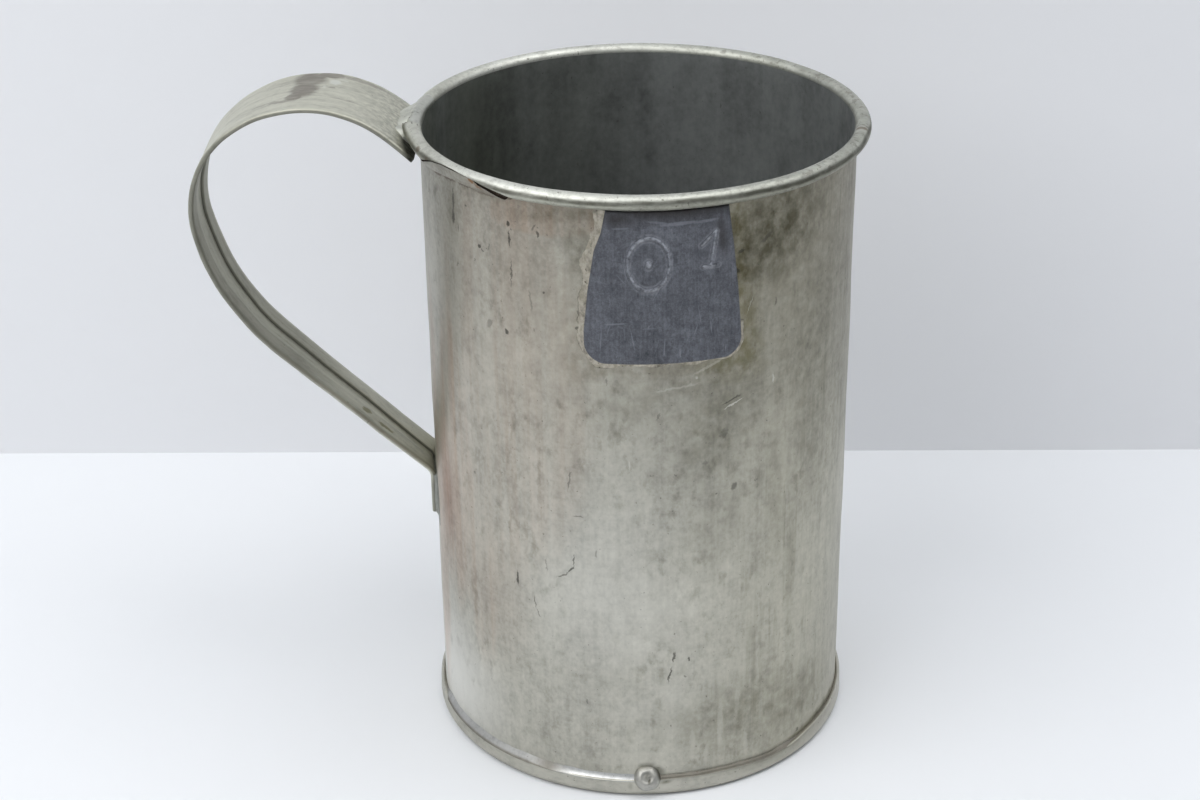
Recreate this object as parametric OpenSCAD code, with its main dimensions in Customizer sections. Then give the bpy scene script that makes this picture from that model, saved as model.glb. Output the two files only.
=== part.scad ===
// Soldered tinplate measuring jug of one litre with a hemmed strap handle.
// Frame: the jug stands on z = 0 around the Z axis, and its handle reaches towards -X.
// Azimuths are degrees from +X, anticlockwise seen from above, so the front of the jug is 270.

/* [Body] */
// Inside diameter of the rolled body
body_inside_d = 94; // [70:0.5:130]
// Height of the rim's top above the table
jug_height = 146; // [120:1:220]
// Thickness of the tinplate
sheet_t = 0.5; // [0.3:0.05:0.8]

/* [Rim] */
// Diameter of the steel wire inside the curled rim
rim_wire_d = 2.4; // [1.6:0.1:4]
// Clearance between the wire and the curl around it
wire_play = 0.05; // [0.02:0.01:0.15]
// Gap left between the curl's free edge and the wall
curl_gap = 0.25; // [0.1:0.05:0.6]

/* [Side seam] */
// Azimuth at which the outer lap steps down to the wall
seam_azimuth = 168; // [150:1:170]
// Width of the lap
lap_w = 8; // [5:0.5:14]
// Thickness of the solder film between the laps
lap_film = 0.15; // [0.05:0.05:0.3]
// Width of the slit between the inner lap's edge and the step
lap_slit = 0.2; // [0.1:0.05:0.5]
// Azimuth of the middle of the stretch where solder covers the rim wire
rim_solder_azimuth = 174.5; // [165:0.5:180]
// Length of rim that the solder covers
rim_solder_w = 17; // [8:1:26]
// Gap between the two ends of the rim wire
wire_end_gap = 0.4; // [0.2:0.1:1.5]

/* [Base] */
// Height of the hemmed flange around the base
flange_h = 4.8; // [3:0.1:9]
// Height of the hem's raw edge above the table
hem_edge_z = 0.9; // [0.6:0.1:1.5]
// Thickness of the solder between the flange and the body
base_film = 0.25; // [0.1:0.05:0.5]
// Depth of the open groove above that solder
groove_depth = 1.1; // [0.7:0.1:2]
// Azimuth at which the smooth run of solder over the groove starts
solder_run_azimuth = 222; // [190:1:240]
// Length of that run
solder_run_w = 30; // [10:1:60]
// Height to which the run climbs the wall above the flange
solder_run_h = 0.9; // [0.3:0.1:2]
// Radius of the sealing fillet inside
inner_fillet_r = 1.2; // [0.6:0.1:3]

/* [Handle] */
// Thickness of the strap's sheet, which is doubled at the hems
strap_t = 0.55; // [0.4:0.05:0.8]
// Width of the strap at the rim
strap_top_w = 28; // [20:0.5:34]
// Width of the strap at its foot
strap_foot_w = 14.5; // [13:0.5:20]
// How fast the flare at the rim dies out along the strap
strap_flare = 1.7; // [1:0.1:4]
// Width of the hem folded in along each edge
hem_w = 5.6; // [3:0.1:6]
// Angle at which the strap leaves the rim, above level
rise_angle = 42; // [30:1:60]
// Straight lead-in of the strap below the rim bead
lead_in = 3; // [2:0.5:6]
// Length of the lead-in that lies behind the point where the strap passes closest to the bead
tuck_in = 1.1; // [0.8:0.1:1.6]
// Gap between the strap and the rim bead
rim_gap = 0.15; // [0.1:0.05:0.5]
// Outer radius of the bend over the top
crown_r = 29; // [24:0.5:36]
// Fall of the strap, below level, where the top bend ends
crown_fall = 38; // [20:1:60]
// Outer radius of the bend at the back
back_r = 25; // [20:0.5:32]
// Fall of the strap where the back bend ends
back_fall = 102; // [90:1:115]
// Outer radius of the long bend below the back
lower_r = 56; // [40:1:70]
// Angle between the lower run and the body's wall
lower_lean = 47; // [40:1:55]
// Outer radius of the bend into the foot tab
foot_bend_r = 3; // [2:0.5:8]
// Length of the flat tab on the wall
foot_tab_h = 9; // [6:0.5:16]
// Length of the lower run over which the strap fits itself to the wall
foot_blend = 16; // [8:1:24]
// Thickness of the solder under the tab
foot_film = 0.2; // [0.1:0.05:0.5]
// Width of the solder that shows around the tab
foot_skirt = 1; // [0.5:0.1:3]
// Width of the solder under the strap's upper end
top_solder_w = 16; // [8:1:20]
// Length of strap that the solder wets on each face
top_solder_reach = 2.2; // [1.5:0.1:2.6]
// How far the solder runs down the wall below the line of the strap's underside
top_solder_drop = 0.8; // [0.4:0.1:3]

/* [Lead seals] */
// Azimuth of the middle of the plate
plate_azimuth = 276.5; // [255:0.5:300]
// Width across the plate's top, straight across
plate_top_w = 25.6; // [18:0.2:34]
// Width across the plate's foot, straight across
plate_foot_w = 32.8; // [22:0.2:40]
// Height of the plate
plate_h = 34; // [20:0.5:44]
// Radius of the plate's lower corners
plate_corner_r = 4; // [1:0.5:8]
// Thickness of the plate
plate_t = 0.6; // [0.3:0.05:1]
// Gap between the plate and the rim bead
plate_gap = 0.3; // [0.1:0.1:1]
// Azimuth of the drop on the base flange
drop_azimuth = 271.7; // [260:0.1:300]
// Diameter of the drop
drop_d = 5.6; // [4:0.1:8]
// Height of the drop's middle above the flange's top edge
drop_lift = 0; // [-0.8:0.1:0.8]
// How far the drop stands out from the flange
drop_proud = 1.5; // [0.9:0.1:2.5]
// Radius of the drop's domed face
drop_dome_r = 4.2; // [4.1:0.1:8]
// Diameter of the dimple in the drop
dimple_d = 2.6; // [1:0.1:3.4]
// Depth of the dimple
dimple_depth = 0.5; // [0.2:0.05:0.7]

/* [Hidden] */
$fn = 240;

// Steps of the strap's bends and of its folded edges
bend_step = 5;
fold_steps = 6;
// Steps of the curl's profile, of the lap's plan and of small rounded corners
curl_steps = 36;
plan_steps = 10;
corner_steps = 8;
// How far cutters run past the surfaces that they cut
past = 1;

body_in_r = body_inside_d / 2;
body_r = body_in_r + sheet_t;
curl_in_r = rim_wire_d / 2 + wire_play;
bead_r = curl_in_r + sheet_t;
bead_at = [body_r + curl_in_r, jug_height - bead_r];
bead_low_z = bead_at[1] - bead_r;
// The curl runs on below the wire until its outer side is curl_gap from the wall.
curl_end = 180 - acos((bead_at[0] - body_r - curl_gap) / bead_r);
// Height at which the wall is cut off under the rim's solder.
rim_cut_z = bead_at[1] + sheet_t / 4;

lap_in_r = body_r + lap_film;
lap_out_r = lap_in_r + sheet_t;
lap_low_z = flange_h + solder_run_h;
lap_high_z = bead_low_z - curl_gap;

flange_in_r = body_r + base_film;
hem_mid_r = flange_in_r + sheet_t;
flange_r = flange_in_r + 2 * sheet_t;
hem_mid_z = flange_h - sheet_t;

strap_hem_t = 2 * strap_t;
tab_in_r = body_r + foot_film;
tab_out_r = tab_in_r + strap_hem_t;

function along(a) = [cos(a), sin(a)];
function left_of(a) = [-sin(a), cos(a)];
function arc_angle(length, r) = length / r * 180 / PI;

// Outer face of the strap in the plane of radius and height: each station is [radius, height, heading].
strap_start = bead_at - (bead_r + rim_gap) * left_of(rise_angle) - tuck_in * along(rise_angle);
lower_heading = -90 - lower_lean;

function bend(from, to_heading, r) =
  let (
    turn = to_heading - from[2],
    side = sign(turn),
    steps = ceil(abs(turn) / bend_step),
    hub = [from[0], from[1]] + side * r * left_of(from[2])
  )
  [for (i = [1 : steps])
    let (heading = from[2] + turn * i / steps, p = hub - side * r * left_of(heading))
    [p[0], p[1], heading]];

function run(from, length, steps) =
  [for (i = [1 : steps])
    let (p = [from[0], from[1]] + length * i / steps * along(from[2]))
    [p[0], p[1], from[2]]];

function last(list) = list[len(list) - 1];

rim_station = [strap_start[0], strap_start[1], rise_angle];
lead_stations = run(rim_station, lead_in, 1);
crown_stations = bend(last(lead_stations), -crown_fall, crown_r);
back_stations = bend(last(crown_stations), -back_fall, back_r);
lower_stations = bend(last(back_stations), lower_heading, lower_r);
run_end_r = tab_out_r + foot_bend_r * (1 - cos(lower_lean));
lower_run = (last(lower_stations)[0] - run_end_r) / sin(lower_lean);
run_stations = run(last(lower_stations), lower_run, 8);
foot_stations = bend(last(run_stations), -90, foot_bend_r);
tab_stations = run(last(foot_stations), foot_tab_h, 3);
strap_path = concat([rim_station], lead_stations, crown_stations, back_stations,
                    lower_stations, run_stations, foot_stations, tab_stations);
tab_top_z = last(foot_stations)[1];
tab_low_z = last(tab_stations)[1];

function place(i) = [strap_path[i][0], strap_path[i][1]];
function gap_to_next(i) = norm(place(i + 1) - place(i));
function lengths(i = 0, sum = 0) =
  i == len(strap_path) - 1 ? [sum] : concat([sum], lengths(i + 1, sum + gap_to_next(i)));
strap_s = lengths();
strap_length = last(strap_s);
function strap_w(s) = strap_foot_w + (strap_top_w - strap_foot_w) * pow(1 - s / strap_length, strap_flare);
// Share of the wall's roundness that the strap takes up at a length s.
fitted_s = strap_length - foot_tab_h;
function fitted(s) = max(0, min(1, (s - fitted_s + foot_blend) / foot_blend));

// Section of the strap as [across, depth below the outer face], once around.
function strap_section(w) =
  let (r = strap_t, side = w / 2 - r, channel = w / 2 - hem_w)
  concat(
    [for (i = [0 : fold_steps]) let (a = 90 - 180 * i / fold_steps) [side + r * cos(a), r * sin(a) - r]],
    [[channel, -strap_hem_t], [channel, -strap_t], [-channel, -strap_t], [-channel, -strap_hem_t]],
    [for (i = [0 : fold_steps]) let (a = -90 - 180 * i / fold_steps) [-side + r * cos(a), r * sin(a) - r]]
  );
section_n = 2 * (fold_steps + 1) + 4;

function strap_point(station, s, p) =
  let (
    q = [station[0], station[1]] + p[1] * left_of(station[2]),
    round_r = tab_out_r + p[1],
    sag = fitted(s) * (round_r - sqrt(round_r * round_r - p[0] * p[0]))
  )
  [sag - q[0], p[0], q[1]];

// Outline of the body, its rim bead and its flange, for cutting what is soldered on.
module wall_outline() {
  square([body_r, bead_at[1]]);
  translate(bead_at) circle(r = bead_r);
}

module flange_outline() {
  square([flange_r, hem_mid_z]);
  translate([hem_mid_r, hem_mid_z]) circle(r = sheet_t);
  square([hem_mid_r, flange_h]);
}

// Turns a radius and height profile through some degrees from an azimuth.
module turned(from, degrees) {
  rotate([0, 0, from]) rotate_extrude(angle = degrees) children();
}

// Sheet of the body from its lower edge up the wall and around the rim wire.
function sheet_profile() =
  let (sweep = 180 + curl_end)
  concat(
    [[body_in_r, sheet_t], [body_r, sheet_t]],
    [for (i = [0 : curl_steps]) bead_at + curl_in_r * along(180 - sweep * i / curl_steps)],
    [for (i = [curl_steps : -1 : 0]) bead_at + bead_r * along(180 - sweep * i / curl_steps)]
  );

function plan_arc(r, from, to) =
  [for (i = [0 : plan_steps]) r * along(from + (to - from) * i / plan_steps)];

// Rolled wall with its curled top edge, cut away at the side seam, and the seam's outer lap.
module body_sheet() {
  slit = arc_angle(lap_slit, body_r);
  step = arc_angle(sheet_t, body_r);
  bare = arc_angle(rim_solder_w, bead_at[0]);
  lap_edge = seam_azimuth - arc_angle(lap_w, body_r);
  step_from = seam_azimuth + step / 4;
  step_r = body_in_r + sheet_t / 2;
  color("#a5a39b") {
    difference() {
      turned(seam_azimuth, 360 - slit) polygon(sheet_profile());
      turned(rim_solder_azimuth - bare / 2, bare) curl_cutter();
    }
    translate([0, 0, lap_low_z])
      linear_extrude(lap_high_z - lap_low_z)
        polygon(concat(
          plan_arc(lap_out_r, lap_edge, step_from + step),
          [step_r * along(step_from + step), step_r * along(step_from)],
          plan_arc(lap_in_r, step_from, lap_edge)
        ));
  }
}

// What the curl takes up beside and above the wall's cut edge.
module curl_cutter() {
  translate([body_in_r - past, rim_cut_z]) square([2 * bead_r + 2 * past, 2 * bead_r + past]);
  translate([body_r + curl_gap / 2, bead_low_z - past]) square([2 * bead_r + past, 2 * bead_r + past]);
}

module rim_wire() {
  gap = arc_angle(wire_end_gap, bead_at[0]);
  color("#6f7275")
    turned(rim_solder_azimuth + gap / 2, 360 - gap)
      translate(bead_at) circle(d = rim_wire_d);
}

// Solder in place of the curl, where the wire's ends meet.
module rim_solder() {
  bare = arc_angle(rim_solder_w, bead_at[0]);
  color("#b4b4ad")
    turned(rim_solder_azimuth - bare / 2, bare)
      difference() {
        translate(bead_at) circle(r = bead_r);
        translate(bead_at) circle(d = rim_wire_d);
        square([body_r, rim_cut_z]);
      }
}

module side_seam_solder() {
  lap = arc_angle(lap_w, body_r);
  color("#b4b4ad")
    turned(seam_azimuth - lap, lap)
      translate([body_r, lap_low_z]) square([lap_film, lap_high_z - lap_low_z]);
}

// Bottom disc, its upturned flange and the hem folded down outside.
module base_pan() {
  color("#8f8e88")
    rotate_extrude() {
      square([hem_mid_r - sheet_t, sheet_t]);
      intersection() {
        translate([hem_mid_r - sheet_t, sheet_t]) circle(r = sheet_t);
        translate([hem_mid_r - sheet_t, 0]) square([sheet_t, sheet_t]);
      }
      translate([flange_in_r, sheet_t]) square([sheet_t, hem_mid_z - sheet_t]);
      translate([hem_mid_r, hem_edge_z]) square([sheet_t, hem_mid_z - hem_edge_z]);
      intersection() {
        translate([hem_mid_r, hem_mid_z]) circle(r = sheet_t);
        translate([flange_in_r, hem_mid_z]) square([2 * sheet_t, sheet_t]);
      }
    }
}

// Film between flange and wall, with one stretch that fills the groove and runs up the wall.
module base_seam_solder() {
  run = arc_angle(solder_run_w, body_r);
  film_top = flange_h - groove_depth;
  hem_hub = [hem_mid_r, hem_mid_z];
  color("#b4b4ad")
    difference() {
      rotate_extrude()
        polygon(concat(
          [[body_r, sheet_t], [flange_in_r, sheet_t]],
          [for (i = [0 : corner_steps]) hem_hub + sheet_t * along(180 - 90 * i / corner_steps)],
          [[body_r, flange_h + solder_run_h]]
        ));
      turned(solder_run_azimuth + run, 360 - run)
        translate([body_r - past, film_top]) square([3 * past, flange_h]);
    }
}

// Hollow fillet in the corner of wall and bottom.
module base_inner_solder() {
  hub = [body_in_r - inner_fillet_r, sheet_t + inner_fillet_r];
  color("#b4b4ad")
    rotate_extrude()
      polygon(concat(
        [[body_in_r, sheet_t]],
        [for (i = [0 : corner_steps]) hub + inner_fillet_r * along(-90 * i / corner_steps)]
      ));
}

// Tapered strap, swept section by section from the rim to its foot.
module handle_strap() {
  stations = len(strap_path);
  points = [
    for (i = [0 : stations - 1])
      for (p = strap_section(strap_w(strap_s[i])))
        strap_point(strap_path[i], strap_s[i], p)
  ];
  sides = [
    for (i = [0 : stations - 2], j = [0 : section_n - 1])
      let (
        k = (j + 1) % section_n,
        a = i * section_n + j,
        b = i * section_n + k,
        c = a + section_n,
        d = b + section_n
      )
      each [[a, c, b], [b, c, d]]
  ];
  right_hem = [for (j = [0 : fold_steps + 2]) j];
  left_hem = [for (j = [fold_steps + 3 : section_n - 1]) j];
  middle = [0, fold_steps + 2, fold_steps + 3, section_n - 1];
  caps = [
    for (part = [right_hem, left_hem, middle]) each [
      part,
      [for (j = [len(part) - 1 : -1 : 0]) part[j] + (stations - 1) * section_n]
    ]
  ];
  color("#98998a") polyhedron(points, concat(sides, caps), convexity = 6);
}

// Solder between the strap's end, the bead and the wall.
module handle_top_solder() {
  head = along(rise_angle);
  below = strap_start - strap_hem_t * left_of(rise_angle);
  inside_r = body_r * cos(arc_angle(top_solder_w / 2, body_r)) - past;
  wall_z = below[1] - (below[0] - body_r) * tan(rise_angle) - top_solder_drop;
  color("#b4b4ad")
    difference() {
      translate([0, top_solder_w / 2, 0])
        rotate([90, 0, 0])
          linear_extrude(top_solder_w)
            mirror([1, 0])
              polygon([
                [inside_r, wall_z],
                [body_r, wall_z],
                below + top_solder_reach * head,
                below,
                strap_start,
                strap_start + top_solder_reach * head,
                bead_at + [bead_r / 2, -bead_r / 8],
                [inside_r, bead_at[1] - bead_r / 4]
              ]);
      rotate_extrude() wall_outline();
    }
}

// Film under the foot tab, its visible skirt and the fill of the channel between the hems.
module handle_foot_solder() {
  half = arc_angle(strap_foot_w / 2 + foot_skirt, tab_in_r);
  channel_half = arc_angle(strap_foot_w / 2 - hem_w, tab_in_r);
  color("#b4b4ad") {
    turned(180 - half, 2 * half)
      translate([body_r, tab_low_z - foot_skirt])
        square([foot_film, tab_top_z - tab_low_z + foot_skirt]);
    if (channel_half > 0)
      turned(180 - channel_half, 2 * channel_half)
        translate([body_r + foot_film / 2, tab_low_z + foot_film])
          square([foot_film / 2 + strap_t, tab_top_z - tab_low_z - 2 * foot_film]);
  }
}

// Outline of the plate, across and upwards, with its two lower corners rounded.
function plate_outline() =
  let (
    flare = atan((plate_foot_w - plate_top_w) / 2 / plate_h),
    r = plate_corner_r,
    // The corner's centre is r from the foot and r from the slanted side.
    cx = plate_foot_w / 2 - r * (1 + sin(flare)) / cos(flare),
    side = [for (i = [0 : corner_steps]) [cx, r] + r * along(-90 + (90 + flare) * i / corner_steps)]
  )
  concat(
    side,
    [[plate_top_w / 2, plate_h], [-plate_top_w / 2, plate_h]],
    [for (i = [corner_steps : -1 : 0]) [-side[i][0], side[i][1]]]
  );

module seal_plate() {
  low_z = bead_low_z - plate_gap - plate_h;
  color("#5c5d66")
    intersection() {
      turned(plate_azimuth - 60, 120)
        translate([body_r, low_z - past]) square([plate_t, plate_h + 2 * past]);
      rotate([0, 0, plate_azimuth + 90])
        translate([0, 0, low_z])
          rotate([90, 0, 0])
            linear_extrude(body_r + plate_t + past) polygon(plate_outline());
    }
}

// Domed drop with a dimple, cut to sit on the flange and the wall.
module seal_drop() {
  face_r = flange_r + drop_proud;
  dimple_r = (dimple_d * dimple_d / 4 + dimple_depth * dimple_depth) / (2 * dimple_depth);
  color("#7c7d80")
    difference() {
      rotate([0, 0, drop_azimuth])
        translate([0, 0, flange_h + drop_lift])
          rotate([0, 90, 0])
            difference() {
              intersection() {
                cylinder(d = drop_d, h = face_r);
                translate([0, 0, face_r - drop_dome_r]) sphere(r = drop_dome_r);
              }
              translate([0, 0, face_r - dimple_depth + dimple_r]) sphere(r = dimple_r);
            }
      rotate_extrude() wall_outline();
      rotate_extrude() flange_outline();
    }
}

body_sheet();
rim_wire();
rim_solder();
side_seam_solder();
base_pan();
base_seam_solder();
base_inner_solder();
handle_strap();
handle_top_solder();
handle_foot_solder();
seal_plate();
seal_drop();
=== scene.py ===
"""Dressed model of a soldered tinplate measuring jug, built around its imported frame."""

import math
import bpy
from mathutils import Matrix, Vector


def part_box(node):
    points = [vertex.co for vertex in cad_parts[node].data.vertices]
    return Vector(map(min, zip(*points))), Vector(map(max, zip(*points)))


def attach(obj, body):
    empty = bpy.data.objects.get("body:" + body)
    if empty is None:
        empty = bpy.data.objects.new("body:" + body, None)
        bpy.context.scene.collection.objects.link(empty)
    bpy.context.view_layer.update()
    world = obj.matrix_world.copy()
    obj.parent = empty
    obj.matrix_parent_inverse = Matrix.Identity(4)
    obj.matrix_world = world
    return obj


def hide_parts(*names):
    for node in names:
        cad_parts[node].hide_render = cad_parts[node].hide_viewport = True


bl_info = {
    "name": "Tinplate measuring jug",
    "version": (1, 0, 0),
    "blender": (4, 5, 0),
    "location": "View3D > Sidebar > Jug",
    "description": "Builds a soldered one litre jug with a strap handle, lead seals and a plain stage",
    "category": "Object",
}

import bmesh
import bpy
import numpy as np
from bpy.props import FloatProperty, FloatVectorProperty, IntProperty, PointerProperty
from bpy.types import Operator, Panel, PropertyGroup
from mathutils import Matrix, Vector, noise

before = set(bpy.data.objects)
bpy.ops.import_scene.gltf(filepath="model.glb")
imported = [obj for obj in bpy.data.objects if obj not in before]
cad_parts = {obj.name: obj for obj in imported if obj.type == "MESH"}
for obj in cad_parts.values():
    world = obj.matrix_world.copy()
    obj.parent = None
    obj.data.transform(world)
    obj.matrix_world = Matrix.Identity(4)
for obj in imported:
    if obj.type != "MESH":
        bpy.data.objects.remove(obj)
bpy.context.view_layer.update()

MM = 0.001
# Azimuth of the jug's front, in degrees.
FRONT = 270.0
SHEET_LOW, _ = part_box("body_sheet")
WIRE_LOW, WIRE_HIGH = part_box("rim_wire")
_, BASE_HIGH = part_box("base_pan")
_, FILLET_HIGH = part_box("base_inner_solder")
PLATE_LOW, PLATE_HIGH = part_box("seal_plate")
LAP_LOW, LAP_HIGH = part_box("side_seam_solder")


def linear(code):
    """Linear RGBA of an sRGB hex colour."""
    parts = [int(code[i:i + 2], 16) / 255 for i in (1, 3, 5)]
    return tuple(c / 12.92 if c <= 0.04045 else ((c + 0.055) / 1.055) ** 2.4 for c in parts) + (1.0,)


def length(name, description, default):
    """Property that holds a length in metres."""
    return FloatProperty(name=name, description=description, default=default, unit="LENGTH", precision=5)


def degrees(name, description, default):
    """Property that holds an angle, given in degrees and kept in radians."""
    return FloatProperty(name=name, description=description, default=math.radians(default), unit="ROTATION")


def colour(name, description, code):
    """Property that holds a linear colour, given as a hex value."""
    return FloatVectorProperty(name=name, description=description, default=linear(code), size=4,
                               min=0.0, max=1.0, subtype="COLOR")


class JugBody(PropertyGroup):
    """Sizes of the rolled wall, its curled rim and its base"""
    inside_r: length("Inside radius", "Radius of the wall's inner face", FILLET_HIGH.x)
    sheet: length("Sheet", "Thickness of the tinplate", SHEET_LOW.z)
    wire_d: length("Wire", "Diameter of the wire in the rim", WIRE_HIGH.z - WIRE_LOW.z)
    wire_play: length("Wire play", "Room between the wire and the curl", 0.05 * MM)
    bead_z: length("Bead height", "Height of the wire's middle", (WIRE_HIGH.z + WIRE_LOW.z) / 2)
    ring_r: length("Bead ring", "Radius of the wire's ring", WIRE_HIGH.x - (WIRE_HIGH.z - WIRE_LOW.z) / 2)
    curl_end: degrees("Curl end", "Angle at which the curl ends below the wire", -124.85)
    solder_from: degrees("Rim solder from", "Azimuth at which the solder on the rim starts", 164.5)
    solder_to: degrees("Rim solder to", "Azimuth at which the solder on the rim ends", 184.5)
    lap_edge: degrees("Lap edge", "Azimuth of the side seam's free edge", 158.35)
    lap_step: degrees("Lap step", "Azimuth at which the side seam's lap steps down", 168.0)
    lap_rise: length("Lap rise", "Height of the lap above the wall", 0.65 * MM)
    flange_r: length("Flange radius", "Outer radius of the base's hem", BASE_HIGH.x)
    flange_h: length("Flange height", "Height of the base's hem", BASE_HIGH.z)
    hem_edge: length("Hem edge", "Height of the hem's raw edge", 0.9 * MM)
    groove: length("Groove", "Depth of the groove between flange and wall", 0.55 * MM)
    dent: length("Dents", "Depth of the wall's shallow dents", 0.12 * MM)
    seed: IntProperty(name="Seed", description="Seed of the wall's dents", default=7)

    @property
    def outer_r(self):
        """Radius of the wall's outer face"""
        return self.inside_r + self.sheet


class JugHandle(PropertyGroup):
    """Sizes of the strap handle"""
    sheet: length("Strap sheet", "Thickness of the strap's sheet", 0.55 * MM)
    rim_w: length("Rim width", "Width of the strap at the rim", 28.0 * MM)
    foot_w: length("Foot width", "Width of the strap at its foot", 14.5 * MM)
    flare: FloatProperty(name="Flare", description="How fast the flare dies out along the strap", default=1.7)
    hem: length("Hem", "Width of the hem folded in along each edge", 5.6 * MM)
    rise: degrees("Rise", "Angle at which the strap leaves the rim", 42)
    rim_gap: length("Rim gap", "Gap between the strap and the bead", 0.15 * MM)
    tuck: length("Tuck", "Length of strap behind its closest point to the bead", 3.2 * MM)
    lead_in: length("Lead-in", "Straight length at the rim", 5.1 * MM)
    crown_r: length("Crown", "Radius of the bend over the top", 29 * MM)
    crown_fall: degrees("Crown fall", "Fall of the strap where the top bend ends", 38)
    back_r: length("Back", "Radius of the bend at the back", 25 * MM)
    back_fall: degrees("Back fall", "Fall of the strap where the back bend ends", 102)
    lower_r: length("Lower bend", "Radius of the long bend below the back", 56 * MM)
    lower_lean: degrees("Lean", "Angle between the lower run and the wall", 47)
    foot_r: length("Foot bend", "Radius of the bend into the foot tab", 3.0 * MM)
    tab: length("Foot tab", "Length of the tab on the wall", 9.0 * MM)
    film: length("Foot film", "Thickness of the solder under the tab", 0.2 * MM)
    fit: length("Foot fit", "Length over which the strap fits itself to the wall", 16 * MM)
    dent: length("Dents", "Depth of the strap's shallow dents", 0.16 * MM)
    seed: IntProperty(name="Seed", description="Seed of the strap's dents", default=3)


class JugSeals(PropertyGroup):
    """Sizes of the two lead seals"""
    plate_at: degrees("Plate azimuth", "Azimuth of the plate's middle", 276.5)
    plate_top_w: length("Plate top", "Width across the plate's top", 25.6 * MM)
    plate_foot_w: length("Plate foot", "Width across the plate's foot", 32.8 * MM)
    plate_low: length("Plate low", "Height of the plate's lower edge", PLATE_LOW.z)
    plate_high: length("Plate high", "Height of the plate's upper edge", PLATE_HIGH.z)
    plate_corner: length("Plate corner", "Radius of the plate's lower corners", 4.0 * MM)
    plate_t: length("Plate thickness", "Thickness of the plate", 0.6 * MM)
    margin: length("Solder margin", "Width of the solder that shows around the plate", 1.2 * MM)
    drop_at: degrees("Drop azimuth", "Azimuth of the drop on the base", 271.7)
    drop_d: length("Drop", "Diameter of the drop", 5.6 * MM)
    drop_proud: length("Drop proud", "How far the drop stands out from the flange", 1.4 * MM)
    dimple_d: length("Dimple", "Diameter of the dimple in the drop", 3.0 * MM)
    dimple: length("Dimple depth", "Depth of the dimple", 0.3 * MM)


class JugColours(PropertyGroup):
    """Colours of the jug's metals and of the stage"""
    tin: colour("Tinplate", "Middle tone of the wall's tinplate", "#b9b7ad")
    inside: colour("Inside", "Tone of the dull tin inside", "#868988")
    rim: colour("Rim", "Tone of the rim, rubbed bright", "#d4d5cd")
    strap: colour("Strap", "Tone of the handle's tinplate", "#c9c8ba")
    solder: colour("Solder", "Tone of wiped solder", "#c8c9c0")
    seam: colour("Seam", "Tone of the solder in the base seam", "#c8c9c8")
    lead: colour("Lead", "Tone of the oxidised lead plate", "#616369")
    drop: colour("Drop", "Tone of the lead drop, rubbed grey", "#b2b1ab")
    wire: colour("Wire", "Tone of the steel wire", "#40372f")
    floor: colour("Floor", "Colour of the floor", "#e6e8eb")
    wall: colour("Backdrop", "Colour of the backdrop", "#ebecef")


class JugStage(PropertyGroup):
    """Camera and backdrop"""
    camera: FloatVectorProperty(name="Camera", description="Place of the camera",
                                default=(0.0, -463.8 * MM, 309.6 * MM), unit="LENGTH")
    yaw: degrees("Yaw", "Turn of the camera to the right", -1.117)
    pitch: degrees("Pitch", "Tilt of the camera below level", 26.72)
    roll: degrees("Roll", "Roll of the camera", -0.716)
    lens: FloatProperty(name="Lens", description="Focal length on a 36 mm sensor", default=67.44)
    backdrop_y: length("Backdrop", "Distance of the backdrop behind the jug's axis", 118 * MM)


# Small helpers for nodes, meshes and shapes, and the kinds of node that are used most.
MATH = "ShaderNodeMath"
VECTOR_MATH = "ShaderNodeVectorMath"
RANGE = "ShaderNodeMapRange"
MIX = "ShaderNodeMix"
NOISE = "ShaderNodeTexNoise"
MAPPING = "ShaderNodeMapping"
SPLIT = "ShaderNodeSeparateXYZ"
JOIN = "ShaderNodeCombineXYZ"
NAMED = "ShaderNodeAttribute"
UV_MAP = "ShaderNodeUVMap"
WHOLE_MATH = "FunctionNodeIntegerMath"
SAMPLE = "GeometryNodeSampleIndex"
STORE = "GeometryNodeStoreNamedAttribute"


def add(tree, kind, inputs=None, out=0, **settings):
    """Adds one node and gives its first output, or the one that out names, or all of them where it is None.

    Settings are the node's own properties, and inputs are values or sockets, by name or number.
    """
    made = tree.nodes.new(kind)
    for key, value in settings.items():
        setattr(made, key, value)
    for key, value in (inputs or {}).items():
        if isinstance(value, bpy.types.NodeSocket):
            tree.links.new(value, made.inputs[key])
        else:
            made.inputs[key].default_value = value
    return made.outputs if out is None else made.outputs[out]


def ease(x, low, high):
    """Smooth step from 0 at low to 1 at high."""
    t = np.clip((np.asarray(x, float) - low) / (high - low), 0.0, 1.0)
    return t * t * (3 - 2 * t)


def wobble(points, size, seed):
    """Smooth noise between about -1 and 1 at each point, with lumps of the given size."""
    shift = Vector((seed * 17.3, seed * 5.1, seed * 9.7))
    return np.array([noise.noise(Vector(p) / size + shift) for p in points])


def arc(hub, radius, start, end, steps):
    """Points of an arc in the plane of radius and height, with its angles in degrees."""
    turns = np.radians(np.linspace(start, end, steps + 1))
    return [(hub[0] + radius * math.cos(a), hub[1] + radius * math.sin(a)) for a in turns]


def places(mesh):
    """Coordinates of a mesh's vertices as an array of rows."""
    flat = np.empty(len(mesh.vertices) * 3)
    mesh.vertices.foreach_get("co", flat)
    return flat.reshape(-1, 3)


def put_places(mesh, rows):
    """Writes rows of coordinates back to a mesh."""
    mesh.vertices.foreach_set("co", np.ascontiguousarray(rows).ravel())
    mesh.update()


def polar(rows):
    """Azimuth in degrees, radius and height of rows of coordinates."""
    return np.degrees(np.arctan2(rows[:, 1], rows[:, 0])) % 360, np.hypot(rows[:, 0], rows[:, 1]), rows[:, 2]


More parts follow.
